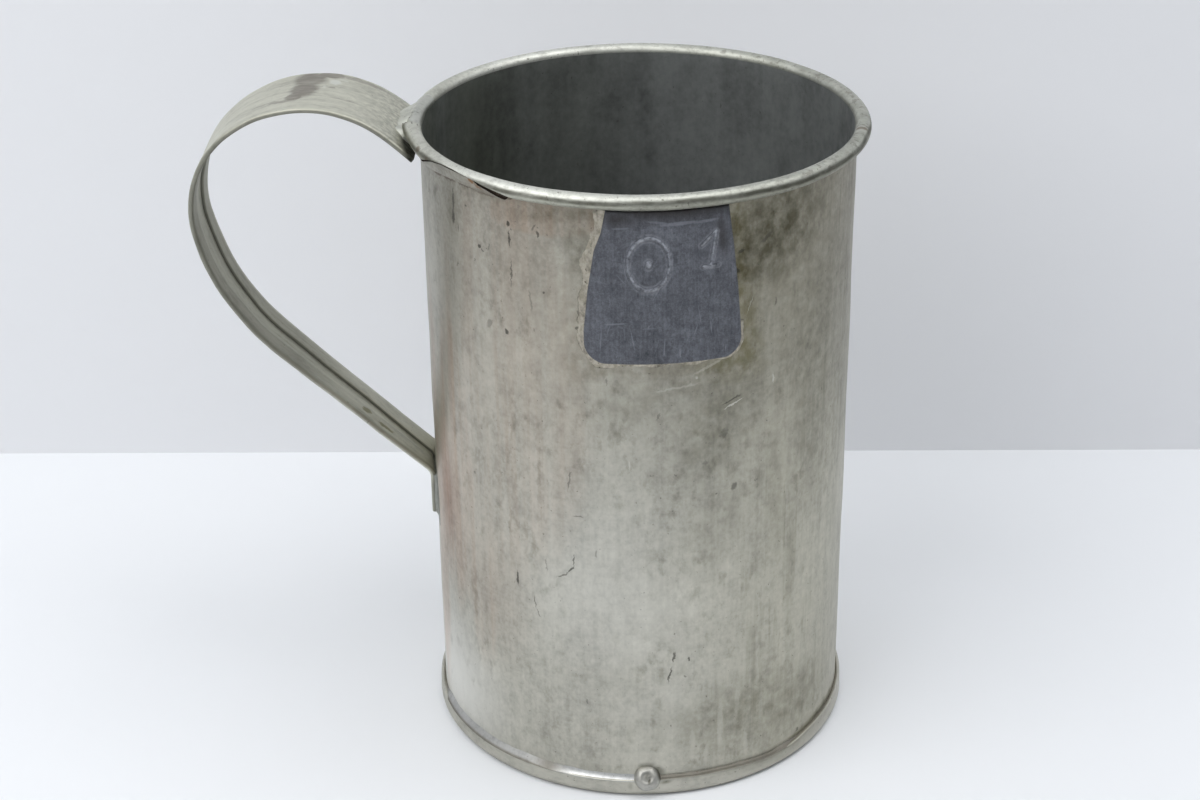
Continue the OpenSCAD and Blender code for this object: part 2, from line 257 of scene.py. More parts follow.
def from_polar(azimuth, radius, height):
    """Rows of coordinates from azimuth in degrees, radius and height, each one value or a row of them."""
    turn = np.radians(azimuth)
    return np.column_stack(np.broadcast_arrays(radius * np.cos(turn), radius * np.sin(turn), height))


def mark(mesh, name, values):
    """Stores one value for each vertex of a mesh under a name."""
    mesh.attributes.new(name, "FLOAT", "POINT").data.foreach_set("value", values)


def placed(name, mesh):
    """Object that holds a mesh, linked to the scene."""
    obj = bpy.data.objects.new(name, mesh)
    bpy.context.scene.collection.objects.link(obj)
    return obj


def unroll(obj):
    """Gives a piece the map "wall": distance round the wall from the jug's front, and height, in metres."""
    mesh = obj.data
    azimuth, _, height = polar(places(mesh))
    reach = bpy.context.scene.jug_body.outer_r
    layer = mesh.uv_layers.new(name="wall")
    corners = np.empty((len(mesh.loops), 2))
    for face in mesh.polygons:
        ring = [mesh.loops[i].vertex_index for i in face.loop_indices]
        away = (azimuth[ring] - FRONT + 180) % 360 - 180
        away = away[0] + (away - away[0] + 180) % 360 - 180
        corners[face.loop_start:face.loop_start + face.loop_total, 0] = np.radians(away) * reach
        corners[face.loop_start:face.loop_start + face.loop_total, 1] = height[ring]
    layer.data.foreach_set("uv", corners.ravel())


def grown(name, points, tree, attributes=None, **inputs):
    """Runs a tree on a list of points, and returns an object that holds the result as a plain mesh."""
    start = bpy.data.meshes.new(name + "_points")
    start.from_pydata(points, [], [])
    for key, values in (attributes or {}).items():
        mark(start, key, values)
    obj = placed(name, start)
    modifier = obj.modifiers.new("Shape", "NODES")
    modifier.node_group = tree
    for item in tree.interface.items_tree:
        if item.in_out == "INPUT" and item.name in inputs:
            modifier[item.identifier] = inputs[item.name]
    graph = bpy.context.evaluated_depsgraph_get()
    obj.data = bpy.data.meshes.new_from_object(obj.evaluated_get(graph), preserve_all_data_layers=True,
                                               depsgraph=graph)
    obj.modifiers.clear()
    obj.data.name = name
    bpy.data.meshes.remove(start)
    if not obj.data.polygons:
        raise RuntimeError(f"{name} came out empty")
    return obj


def lofted(name, rings, materials, paint=None, closed=False):
    """Mesh through rings of equally many points, capped at both ends or closed all the way round.

    Paint gives each row of faces its material.
    """
    count, total = len(rings[0]), len(rings)
    verts = [tuple(p) for ring in rings for p in ring]
    faces = [
        (i * count + j, i * count + (j + 1) % count, (i + 1) % total * count + (j + 1) % count,
         (i + 1) % total * count + j)
        for i in range(total if closed else total - 1) for j in range(count)
    ]
    if not closed:
        faces += [tuple(range(count)), tuple(range((total - 1) * count, total * count))]
    mesh = bpy.data.meshes.new(name)
    mesh.from_pydata(verts, [], faces)
    for material in materials:
        mesh.materials.append(material)
    if paint:
        for face in mesh.polygons[:-2]:
            face.material_index = paint[face.index % count]
    obj = placed(name, mesh)
    tidy_mesh(mesh, recalculate=True)
    return obj


def tidy_mesh(mesh, recalculate=False, cap=False, sharp=40):
    """Merges doubles, caps open ends, points faces outwards and keeps corners above an angle sharp."""
    work = bmesh.new()
    work.from_mesh(mesh)
    bmesh.ops.remove_doubles(work, verts=work.verts, dist=1e-6)
    if cap:
        open_edges = [e for e in work.edges if e.is_boundary]
        bmesh.ops.holes_fill(work, edges=open_edges, sides=0)
    if recalculate:
        bmesh.ops.recalc_face_normals(work, faces=work.faces)
    for face in work.faces:
        face.smooth = True
    work.to_mesh(mesh)
    work.free()
    mesh.set_sharp_from_angle(angle=math.radians(sharp))


def joined(target, *others):
    """Joins other objects into the first one."""
    with bpy.context.temp_override(active_object=target, selected_editable_objects=[target, *others]):
        bpy.ops.object.join()
    return target


def hand_over(obj, slot, *nodes):
    """Gives a finished piece to the frame in place of its CAD nodes."""
    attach(obj, "root")
    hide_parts(*nodes)


# Geometry Nodes trees.
def new_tree(name, sockets):
    """Empty tree with a geometry input and output and the named inputs, given as (name, kind) pairs."""
    tree = bpy.data.node_groups.new(name, "GeometryNodeTree")
    tree.interface.new_socket("Geometry", in_out="INPUT", socket_type="NodeSocketGeometry")
    for label, kind in sockets:
        tree.interface.new_socket(label, in_out="INPUT", socket_type="NodeSocket" + kind)
    tree.interface.new_socket("Geometry", in_out="OUTPUT", socket_type="NodeSocketGeometry")
    return tree, add(tree, "NodeGroupInput", out=None)


def end_tree(tree, geometry, material):
    """Merges the seams of a tree's mesh, smooths it, realizes it and sets its material."""
    merged = add(tree, "GeometryNodeMergeByDistance", {"Geometry": geometry, "Distance": 1e-6})
    smooth = add(tree, "GeometryNodeSetShadeSmooth", {0: merged})
    solid = add(tree, "GeometryNodeRealizeInstances", {0: smooth})
    painted = add(tree, "GeometryNodeSetMaterial", {"Geometry": solid, "Material": material})
    add(tree, "NodeGroupOutput", {0: painted}, out=None)
    return tree


def turned_tree():
    """Tree that turns a closed profile of radius and height about the jug's axis, with shallow dents."""
    tree, given = new_tree("Turned sheet", [
        ("From", "Float"), ("Sweep", "Float"), ("Columns", "Int"), ("Dent", "Float"),
        ("Dent size", "Float"), ("Dent low", "Float"), ("Dent high", "Float"), ("Dent fade", "Float"),
        ("Seed", "Int"), ("Material", "Material"),
    ])
    rows = add(tree, "GeometryNodeAttributeDomainSize", {0: given["Geometry"]}, out="Point Count")
    grid = add(tree, "GeometryNodeMeshGrid", {"Vertices X": given["Columns"], "Vertices Y": rows})
    index = add(tree, "GeometryNodeInputIndex")
    column = add(tree, WHOLE_MATH, {0: index, 1: rows}, operation="DIVIDE_FLOOR")
    row = add(tree, WHOLE_MATH, {0: index, 1: rows}, operation="MODULO")
    here = add(tree, "GeometryNodeInputPosition")
    profile = add(tree, SAMPLE, {"Geometry": given["Geometry"], "Value": here, "Index": row},
                  data_type="FLOAT_VECTOR", domain="POINT")
    point = add(tree, SPLIT, {0: profile}, out=None)
    steps = add(tree, MATH, {0: given["Columns"], 1: 1.0}, operation="SUBTRACT")
    step = add(tree, MATH, {0: given["Sweep"], 1: steps}, operation="DIVIDE")
    turn = add(tree, MATH, {0: step, 1: column, 2: given["From"]}, operation="MULTIPLY_ADD")
    across = add(tree, MATH, {0: turn}, operation="COSINE")
    away = add(tree, MATH, {0: turn}, operation="SINE")
    # The dents follow the wall's direction and height alone, so both faces of the sheet move together.
    wall_r = 50 * MM
    lump = add(tree, MATH, {0: wall_r, 1: given["Dent size"]}, operation="DIVIDE")
    high = add(tree, MATH, {0: point["Z"], 1: given["Dent size"]}, operation="DIVIDE")
    lump_x = add(tree, MATH, {0: across, 1: lump}, operation="MULTIPLY")
    lump_y = add(tree, MATH, {0: away, 1: lump}, operation="MULTIPLY")
    spot = add(tree, JOIN, {0: lump_x, 1: lump_y, 2: high})
    dents = add(tree, NOISE, {"Vector": spot, "W": given["Seed"], "Scale": 1.0, "Detail": 1.0},
                noise_dimensions="4D")
    depth = add(tree, RANGE, {"Value": dents, "From Min": 0.3, "From Max": 0.7, "To Min": -1.0,
                              "To Max": 1.0})
    deep = add(tree, MATH, {0: depth, 1: given["Dent"]}, operation="MULTIPLY")
    for edge, operation in (("Dent low", "ADD"), ("Dent high", "SUBTRACT")):
        full = add(tree, MATH, {0: given[edge], 1: given["Dent fade"]}, operation=operation)
        fade = add(tree, RANGE, {"Value": point["Z"], "From Min": given[edge], "From Max": full},
                   interpolation_type="SMOOTHSTEP")
        deep = add(tree, MATH, {0: deep, 1: fade}, operation="MULTIPLY")
    radius = add(tree, MATH, {0: point["X"], 1: deep}, operation="ADD")
    x = add(tree, MATH, {0: radius, 1: across}, operation="MULTIPLY")
    y = add(tree, MATH, {0: radius, 1: away}, operation="MULTIPLY")
    place = add(tree, JOIN, {0: x, 1: y, 2: point["Z"]})
    moved = add(tree, "GeometryNodeSetPosition", {"Geometry": grid, "Position": place})
    return end_tree(tree, moved, given["Material"])


def strap_tree():
    """Tree that sweeps the strap's hemmed section along its path, with its flare, dents and fitted foot."""
    tree, given = new_tree("Hemmed strap", [
        ("Stations", "Int"), ("Length", "Float"), ("Rim width", "Float"), ("Foot width", "Float"),
        ("Flare", "Float"), ("Tab radius", "Float"), ("Fit from", "Float"), ("Fit to", "Float"),
        ("Dent", "Float"), ("Dent size", "Float"), ("Seed", "Int"), ("Material", "Material"),
    ])
    total = add(tree, "GeometryNodeAttributeDomainSize", {0: given["Geometry"]}, out="Point Count")
    around = add(tree, WHOLE_MATH, {0: total, 1: given["Stations"]}, operation="SUBTRACT")
    grid = add(tree, "GeometryNodeMeshGrid", {"Vertices X": given["Stations"], "Vertices Y": around})
    index = add(tree, "GeometryNodeInputIndex")
    station = add(tree, WHOLE_MATH, {0: index, 1: around}, operation="DIVIDE_FLOOR")
    turn = add(tree, WHOLE_MATH, {0: index, 1: around}, operation="MODULO")
    corner = add(tree, WHOLE_MATH, {0: turn, 1: given["Stations"]}, operation="ADD")
    here = add(tree, "GeometryNodeInputPosition")
    found = {}
    for label, at in (("path", station), ("section", corner)):
        found[label] = add(tree, SAMPLE, {"Geometry": given["Geometry"], "Value": here, "Index": at},
                           data_type="FLOAT_VECTOR", domain="POINT")
    for label, at in (("heading", station), ("along", station), ("grime", corner)):
        named = add(tree, "GeometryNodeInputNamedAttribute", {"Name": label}, data_type="FLOAT")
        found[label] = add(tree, SAMPLE, {"Geometry": given["Geometry"], "Value": named, "Index": at},
                           data_type="FLOAT", domain="POINT")
    path = add(tree, SPLIT, {0: found["path"]}, out=None)
    section = add(tree, SPLIT, {0: found["section"]}, out=None)
    along = found["along"]
    # Width at this length, and the distance across from the strap's middle.
    done = add(tree, MATH, {0: along, 1: given["Length"]}, operation="DIVIDE")
    left = add(tree, MATH, {0: 1.0, 1: done}, operation="SUBTRACT", use_clamp=True)
    share = add(tree, MATH, {0: left, 1: given["Flare"]}, operation="POWER")
    wide = add(tree, MIX, {"Factor": share, "A": given["Foot width"], "B": given["Rim width"]})
    half = add(tree, MATH, {0: wide, 1: 0.5}, operation="MULTIPLY")
    across = add(tree, MATH, {0: section["X"], 1: half, 2: section["Y"]}, operation="MULTIPLY_ADD")
    # Dents move the section along the strap's own normal.
    spot = add(tree, JOIN, {0: along, 1: across})
    spot = add(tree, VECTOR_MATH, {0: spot, 1: given["Dent size"]}, operation="DIVIDE")
    dents = add(tree, NOISE, {"Vector": spot, "W": given["Seed"], "Scale": 1.0, "Detail": 1.5},
                noise_dimensions="4D")
    centred = add(tree, RANGE, {"Value": dents, "From Min": 0.3, "From Max": 0.7, "To Min": -2.0,
                                "To Max": 0.0})
    fitted = add(tree, RANGE, {"Value": along, "From Min": given["Fit from"], "From Max": given["Fit to"]})
    free = add(tree, MATH, {0: 1.0, 1: fitted}, operation="SUBTRACT")
    loose = add(tree, MATH, {0: given["Dent"], 1: free}, operation="MULTIPLY")
    depth = add(tree, MATH, {0: centred, 1: loose, 2: section["Z"]}, operation="MULTIPLY_ADD")
    sine = add(tree, MATH, {0: found["heading"]}, operation="SINE")
    cosine = add(tree, MATH, {0: found["heading"]}, operation="COSINE")
    down = add(tree, MATH, {0: depth, 1: sine}, operation="MULTIPLY")
    radius = add(tree, MATH, {0: path["X"], 1: down}, operation="SUBTRACT")
    height = add(tree, MATH, {0: depth, 1: cosine, 2: path["Z"]}, operation="MULTIPLY_ADD")
    # Towards its foot the strap takes up the wall's roundness.
    bow = add(tree, MATH, {0: given["Tab radius"], 1: depth}, operation="ADD")
    bow_2 = add(tree, MATH, {0: bow, 1: bow}, operation="MULTIPLY")
    across_2 = add(tree, MATH, {0: across, 1: across}, operation="MULTIPLY")
    chord_2 = add(tree, MATH, {0: bow_2, 1: across_2}, operation="SUBTRACT")
    chord = add(tree, MATH, {0: chord_2}, operation="SQRT")
    sag = add(tree, MATH, {0: bow, 1: chord}, operation="SUBTRACT")
    back = add(tree, MATH, {0: sag, 1: fitted}, operation="MULTIPLY")
    x = add(tree, MATH, {0: back, 1: radius}, operation="SUBTRACT")
    place = add(tree, JOIN, {0: x, 1: across, 2: height})
    chart = add(tree, JOIN, {0: along, 1: across})
    mesh = add(tree, STORE, {"Geometry": grid, "Name": "strap", "Value": chart},
               data_type="FLOAT_VECTOR", domain="POINT")
    mesh = add(tree, STORE, {"Geometry": mesh, "Name": "grime", "Value": found["grime"]},
               data_type="FLOAT", domain="POINT")
    moved = add(tree, "GeometryNodeSetPosition", {"Geometry": mesh, "Position": place})
    return end_tree(tree, moved, given["Material"])


def put_stops(ramp, stops):
    """Sets the stops of a colour ramp, each a place from 0 to 1 and its linear colour."""
    for at, _ in stops[1:-1]:
        ramp.elements.new(at)
    for stop, (at, shade) in zip(ramp.elements, stops):
        stop.position = at
        stop.color = shade


# Materials. A look is the material with the sockets that its details are laid over.
class Look:
    """Worn metal: layered noise picks its tone, and the same noise roughens and dents it slightly."""

    def __init__(self, name, layers, stops, rough, bump, chart=None, metallic=1.0):
        self.material = bpy.data.materials.new(name)
        self.material.use_nodes = True
        self.tree = self.material.node_tree
        self.tree.nodes.clear()
        self.place = add(self.tree, "ShaderNodeTexCoord", out="Object")
        if chart:
            self.place = add(self.tree, NAMED, attribute_name=chart, out="Vector")
        level = 0.5 - sum(weight for _, _, weight in layers) / 2
        # Each layer is (grain size along X, Y and Z in mm, detail, weight). The metals' own grain is too fine
        # to show, so the finest layers are drawn 0.3 mm coarse or more.
        for size, detail, weight in layers:
            scaled = add(self.tree, MAPPING, {"Vector": self.place, "Scale": [1 / (s * MM) for s in size]})
            grain = add(self.tree, NOISE,
                        {"Vector": scaled, "Scale": 1.0, "Detail": detail, "Roughness": 0.62})
            spread = add(self.tree, RANGE, {"Value": grain, "From Min": 0.25, "From Max": 0.75}, clamp=False)
            level = add(self.tree, MATH, {0: spread, 1: weight, 2: level}, operation="MULTIPLY_ADD")
        self.colour = add(self.tree, "ShaderNodeValToRGB", {0: level})
        put_stops(self.colour.node.color_ramp, stops)
        self.rough = add(self.tree, RANGE, {"Value": level, "To Min": rough[0], "To Max": rough[1]},
                         clamp=False)
        self.metal = metallic
        self.height = level
        self.bump = bump

    def lay(self, mask, shade, strength=1.0, rough=None, metal=None, height=0.0, blend="MIX"):
        """Lays a hex colour over the look where a mask is white, with its own roughness, metal and relief."""
        amount = add(self.tree, MATH, {0: mask, 1: strength}, operation="MULTIPLY", use_clamp=True)
        # Sockets 6 and 7 are the two colours of this node, and output 2 is their mix.
        self.colour = add(self.tree, MIX, {"Factor": amount, 6: self.colour, 7: linear(shade)},
                          data_type="RGBA", blend_type=blend, out=2)
        if rough is not None:
            self.rough = add(self.tree, MIX, {"Factor": amount, "A": self.rough, "B": rough})
        if metal is not None:
            self.metal = add(self.tree, MIX, {"Factor": amount, "A": self.metal, "B": metal})
        if height:
            self.height = add(self.tree, MATH, {0: amount, 1: height, 2: self.height},
                              operation="MULTIPLY_ADD")

    def tint(self, mask, shade, strength=1.0, rough=None):
        """Multiplies the look by a hex colour where a mask is white."""
        self.lay(mask, shade, strength, rough, blend="MULTIPLY")

    def spots(self, vector, marks, soft=0.5):
        """Mask of soft oval marks on a flat map, each u, v, half length, half width, turn and strength."""
        mask = 0.0
        for u, v, long, wide, turn, strength in marks:
            local = add(self.tree, MAPPING,
                        {"Vector": vector, "Location": (u * MM, v * MM, 0),
                         "Rotation": (0, 0, math.radians(turn)), "Scale": (long * MM, wide * MM, 1)},
                        vector_type="TEXTURE")
            ball = add(self.tree, "ShaderNodeTexGradient", {0: local}, gradient_type="SPHERICAL", out="Fac")
            edge = add(self.tree, RANGE, {"Value": ball, "From Max": soft, "To Max": strength},
                       interpolation_type="SMOOTHSTEP")
            mask = add(self.tree, MATH, {0: mask, 1: edge}, operation="MAXIMUM")
        return mask

    def patches(self, size, low, high, detail=4.0, shift=0.0):
        """Mask of ragged patches of a size in mm, from noise that starts at low and is full at high."""
        scaled = add(self.tree, MAPPING,
                     {"Vector": self.place, "Location": (shift, shift, shift),
                      "Scale": [1 / (s * MM) for s in size]})
        grain = add(self.tree, NOISE, {"Vector": scaled, "Scale": 1.0, "Detail": detail, "Roughness": 0.6})
        return add(self.tree, RANGE, {"Value": grain, "From Min": low, "From Max": high})

    def specks(self, size, cover):
        """Mask of small specks of a size in mm, fewer where cover is higher."""
        return self.patches([size] * 3, 0.5 + cover, 0.56 + cover, 2.0)

    def torn(self, vector, grain, reach):
        """Flat map whose places are shifted by noise, so that marks on it get ragged edges. Sizes in mm."""
        spot = add(self.tree, MAPPING, {"Vector": self.place, "Scale": [1 / (grain * MM)] * 3})
        jitter = add(self.tree, NOISE, {"Vector": spot, "Scale": 1.0, "Detail": 3.0}, out="Color")
        centred = add(self.tree, VECTOR_MATH, {0: jitter, 1: (0.5, 0.5, 0.5)}, operation="SUBTRACT")
        shift = add(self.tree, VECTOR_MATH, {0: centred, "Scale": reach * MM}, operation="SCALE")
        return add(self.tree, VECTOR_MATH, {0: vector, 1: shift}, operation="ADD")

    def within(self, mask, other, least=0.0):
        """Mask where both masks are white, with at least a share of the first one."""
        share = add(self.tree, RANGE, {"Value": other, "To Min": least})
        return add(self.tree, MATH, {0: mask, 1: share}, operation="MULTIPLY")

    def done(self):
        """Links everything into the shader and returns the material."""
        relief = add(self.tree, "ShaderNodeBump",
                     {"Height": self.height, "Distance": self.bump * MM, "Strength": 1.0})
        shader = add(self.tree, "ShaderNodeBsdfPrincipled",
                     {"Base Color": self.colour, "Roughness": self.rough, "Metallic": self.metal,
                      "Normal": relief})
        add(self.tree, "ShaderNodeOutputMaterial", {0: shader}, out=None)
        return self.material


def shaded(base, factor):
    """Colour made lighter or darker by a factor."""
    return tuple(min(1.0, c * factor) for c in base[:3]) + (1.0,)


def tones(base, dark, light):
    """Three stops of a tone ramp around a base colour."""
    return [(0.15, shaded(base, dark)), (0.5, tuple(base)), (0.85, shaded(base, light))]


# Marks are distance round from the front, height, half length, half width, turn and strength, in mm and
# degrees. First the wall's dark scratches and pits.
WALL_SCRATCHES = [
    (-28.6, 52.1, 2.2, 0.45, 90, 0.9), (-14.5, 60.0, 1.9, 0.24, 86, 0.7), (-15.2, 57.7, 1.3, 0.26, 58, 0.8),
    (-17.1, 55.9, 2.0, 0.26, 34, 0.6), (-15.1, 79.7, 2.9, 0.24, 82, 0.5), (-13.4, 71.2, 1.7, 0.22, 8, 0.5),
    (-24.1, 47.2, 2.0, 0.24, 98, 0.6), (-23.3, 44.6, 1.5, 0.24, 122, 0.5), (7.5, 36.2, 1.7, 0.36, 80, 0.8),
    (6.6, 31.6, 2.6, 0.28, 78, 0.8), (10.9, 35.2, 0.6, 0.4, 60, 0.8), (10.0, 30.9, 0.5, 0.35, 80, 0.5),
    (18.3, 90.3, 1.6, 1.1, 80, 0.4), (20.8, 77.0, 1.1, 0.9, 70, 0.55), (-28.2, 136.2, 0.8, 0.6, 70, 1.0),
    (-28.0, 132.9, 2.3, 0.28, 90, 0.9), (-27.7, 125.4, 3.8, 0.22, 88, 0.65),
    (-29.4, 111.7, 0.8, 0.5, 150, 0.9), (-36.3, 129.2, 0.7, 0.5, 30, 0.9), (-34.1, 112.2, 1.5, 0.9, 60, 0.4),
    (-23.2, 120.0, 3.0, 0.35, 96, 0.35), (-45.0, 136.6, 4.0, 0.4, 88, 0.8), (-45.2, 133.0, 2.0, 0.7, 84, 0.9),
    (-21.2, 135.2, 1.0, 0.4, 100, 0.8), (-35.6, 128.5, 0.6, 0.25, 120, 0.6),
    (-33.6, 129.8, 1.0, 0.22, 80, 0.5), (-22.0, 136.6, 1.2, 0.3, 60, 0.5), (-22.5, 113.6, 0.6, 0.3, 90, 0.4),
    (-20.0, 122.5, 0.4, 0.35, 0, 0.7), (-40.4, 137.0, 0.45, 0.35, 0, 0.7), (-44.2, 122.6, 1.0, 0.3, 70, 0.45),
    (-43.4, 131.2, 1.3, 0.24, 96, 0.6), (21.6, 131.2, 1.1, 0.5, 10, 0.7), (20.6, 127.1, 0.7, 0.6, 20, 0.8),
    (27.6, 133.0, 2.2, 0.5, 35, 0.5), (19.9, 97.9, 3.0, 0.26, 22, 0.7), (-11.9, 24.0, 0.8, 0.3, 100, 0.4),
    (30.5, 118.0, 1.3, 0.3, 88, 0.5), (41.5, 5.6, 0.8, 0.6, 0, 0.6), (-6.8, 104.0, 1.4, 0.2, 90, 0.4),
    (4.0, 96.0, 1.2, 0.3, 70, 0.4), (-12.9, 115.6, 0.6, 0.5, 30, 0.7), (-12.4, 119.2, 0.8, 0.5, 80, 0.6),
    (-41.0, 74.0, 0.6, 0.4, 0, 0.5), (-21.0, 57.5, 2.4, 0.2, 95, 0.35), (-9.4, 62.4, 1.2, 0.22, 84, 0.4),
    (14.0, 84.0, 1.0, 0.6, 20, 0.35),
]
# Bright nicks and rubbed lines of the wall.
WALL_NICKS = [
    (20.4, 96.9, 3.3, 0.24, 21, 0.9), (30.2, 100.3, 1.6, 0.2, 92, 0.7), (12.1, 104.4, 0.5, 0.35, 30, 0.6),
    (18.4, 16.6, 7.5, 1.0, 90, 0.34), (25.0, 9.4, 4.5, 0.8, 91, 0.3), (11.8, 12.0, 6.0, 0.8, 90, 0.26),
    (22.6, 22.0, 6.0, 0.8, 89, 0.24), (29.0, 17.0, 7.0, 0.8, 90, 0.2), (15.0, 8.4, 3.0, 0.6, 90, 0.24),
    (24.0, 119.0, 2.6, 0.2, 70, 0.4), (-2.2, 84.5, 1.4, 0.25, 90, 0.6), (14.6, 106.6, 5.0, 0.4, 24, 0.35),
    (8.0, 102.4, 6.0, 0.35, 8, 0.3), (-43.0, 88.0, 20.0, 1.8, 90, 0.3), (-23.5, 82.0, 22.0, 1.2, 90, 0.25),
]
# Wide soft patches of the wall: grimy stains with painted shade under the bead and above the hem, warm
# tarnish, and pale rubbed tin with painted highlights on the far left.
WALL_GRIME_AND_SHADE = [
    (30.0, 134.0, 24.0, 18.0, 30, 1.15), (31.7, 70.3, 26.0, 4.0, 92, 0.5), (36.9, 53.1, 22.0, 3.0, 88, 0.5),
    (40.0, 15.0, 22.0, 13.0, 0, 0.66), (16.0, 94.0, 30.0, 15.0, 70, 0.55), (2.2, 99.0, 22.0, 9.0, 10, 0.4),
    (-30.0, 141.5, 34.0, 3.0, 2, 0.4), (0.0, 6.5, 60.0, 2.0, 0, 0.1), (24.0, 18.0, 34.0, 14.0, 0, 0.66),
    (44.0, 100.0, 50.0, 14.0, 90, 0.38), (-18.0, 140.0, 18.0, 4.0, 4, 0.5), (-45.0, 134.0, 8.0, 3.4, 86, 0.9),
    (-13.0, 134.0, 11.0, 4.0, 96, 0.5), (14.0, 66.0, 22.0, 12.0, 60, 0.35), (-8.0, 30.0, 26.0, 10.0, 0, 0.15),
]
WALL_WARM = [
    (-50.0, 74.0, 44.0, 9.0, 90, 1.0), (-34.5, 90.0, 27.0, 6.4, 90, 0.6), (-39.5, 52.0, 32.0, 6.0, 90, 0.6),
    (-62.0, 60.0, 60.0, 7.0, 90, 0.8), (-20.0, 139.0, 18.0, 5.0, 4, 0.9),
    (-50.0, 60.0, 26.0, 22.0, 90, 0.7), (-32.0, 100.0, 56.0, 26.0, 90, 0.45),
]
WALL_FLUSH = [(-55.0, 63.0, 26.0, 9.0, 90, 1.0), (-34.0, 44.0, 24.0, 14.0, 90, 0.25)]
# Pale patches of the wall: rubbed tin, and on the far left painted highlights where the wall turns away.
WALL_RUBBED_AND_LIT = [
    (-10.0, 52.0, 44.0, 26.0, 92, 0.4), (4.0, 24.0, 24.0, 14.0, 0, 0.2), (-56.0, 13.0, 27.0, 30.0, 90, 1.7),
    (-56.0, 100.0, 36.0, 12.0, 90, 0.4),
]
# Painted shadow on the wall around the lead drop, and painted shade and rust on the lip.
WALL_DROP_SHADOW = [(4.3, 6.0, 2.4, 1.5, -50, 0.6), (1.6, 7.6, 2.6, 1.2, 0, 0.35)]
LIP_SHADE = [(-51.5, 140.6, 2.6, 0.4, 6, 0.8), (-46.3, 141.1, 3.2, 0.4, 4, 0.8),
             (-40.9, 141.4, 3.0, 0.36, -1, 0.7), (-34.4, 141.2, 4.4, 0.36, -1, 0.6)]
WALL_RUST = [(-36.4, 144.0, 1.2, 0.6, -20, 1.0), (-34.6, 143.2, 1.4, 0.5, -24, 0.7)]

WALL_FINISH = "Tinplate, rolled and age-dulled"


def plate_halo(look, split, seals, outer):
    """Masks of the wall close to the lead plate: on its left and below its foot, and on its right."""
    lean = math.atan((seals.plate_foot_w - seals.plate_top_w) / 2 / (seals.plate_high - seals.plate_low))
    middle = (seals.plate_at - math.radians(FRONT)) * outer
    off = add(look.tree, MATH, {0: split["X"], 1: middle}, operation="SUBTRACT")
    aside = add(look.tree, MATH, {0: off}, operation="ABSOLUTE")
    above = add(look.tree, MATH, {0: split["Y"], 1: seals.plate_low}, operation="SUBTRACT")
    beyond = add(look.tree, MATH, {0: above, 1: math.tan(lean), 2: aside}, operation="MULTIPLY_ADD")
    beside = add(look.tree, MATH, {0: beyond, 1: seals.plate_foot_w / 2}, operation="SUBTRACT")
    below = add(look.tree, MATH, {0: above, 1: -1.0}, operation="MULTIPLY")
    gap = add(look.tree, MATH, {0: beside, 1: below, 2: 5 * MM}, operation="SMOOTH_MAX")
    halo = add(look.tree, RANGE, {"Value": gap, "From Min": 7 * MM, "From Max": 2 * MM})
    right = add(look.tree, RANGE, {"Value": off, "From Min": 2 * MM, "From Max": 14 * MM})
    left = add(look.tree, MATH, {0: 1.0, 1: right}, operation="SUBTRACT")
    return look.within(halo, left), look.within(halo, right)


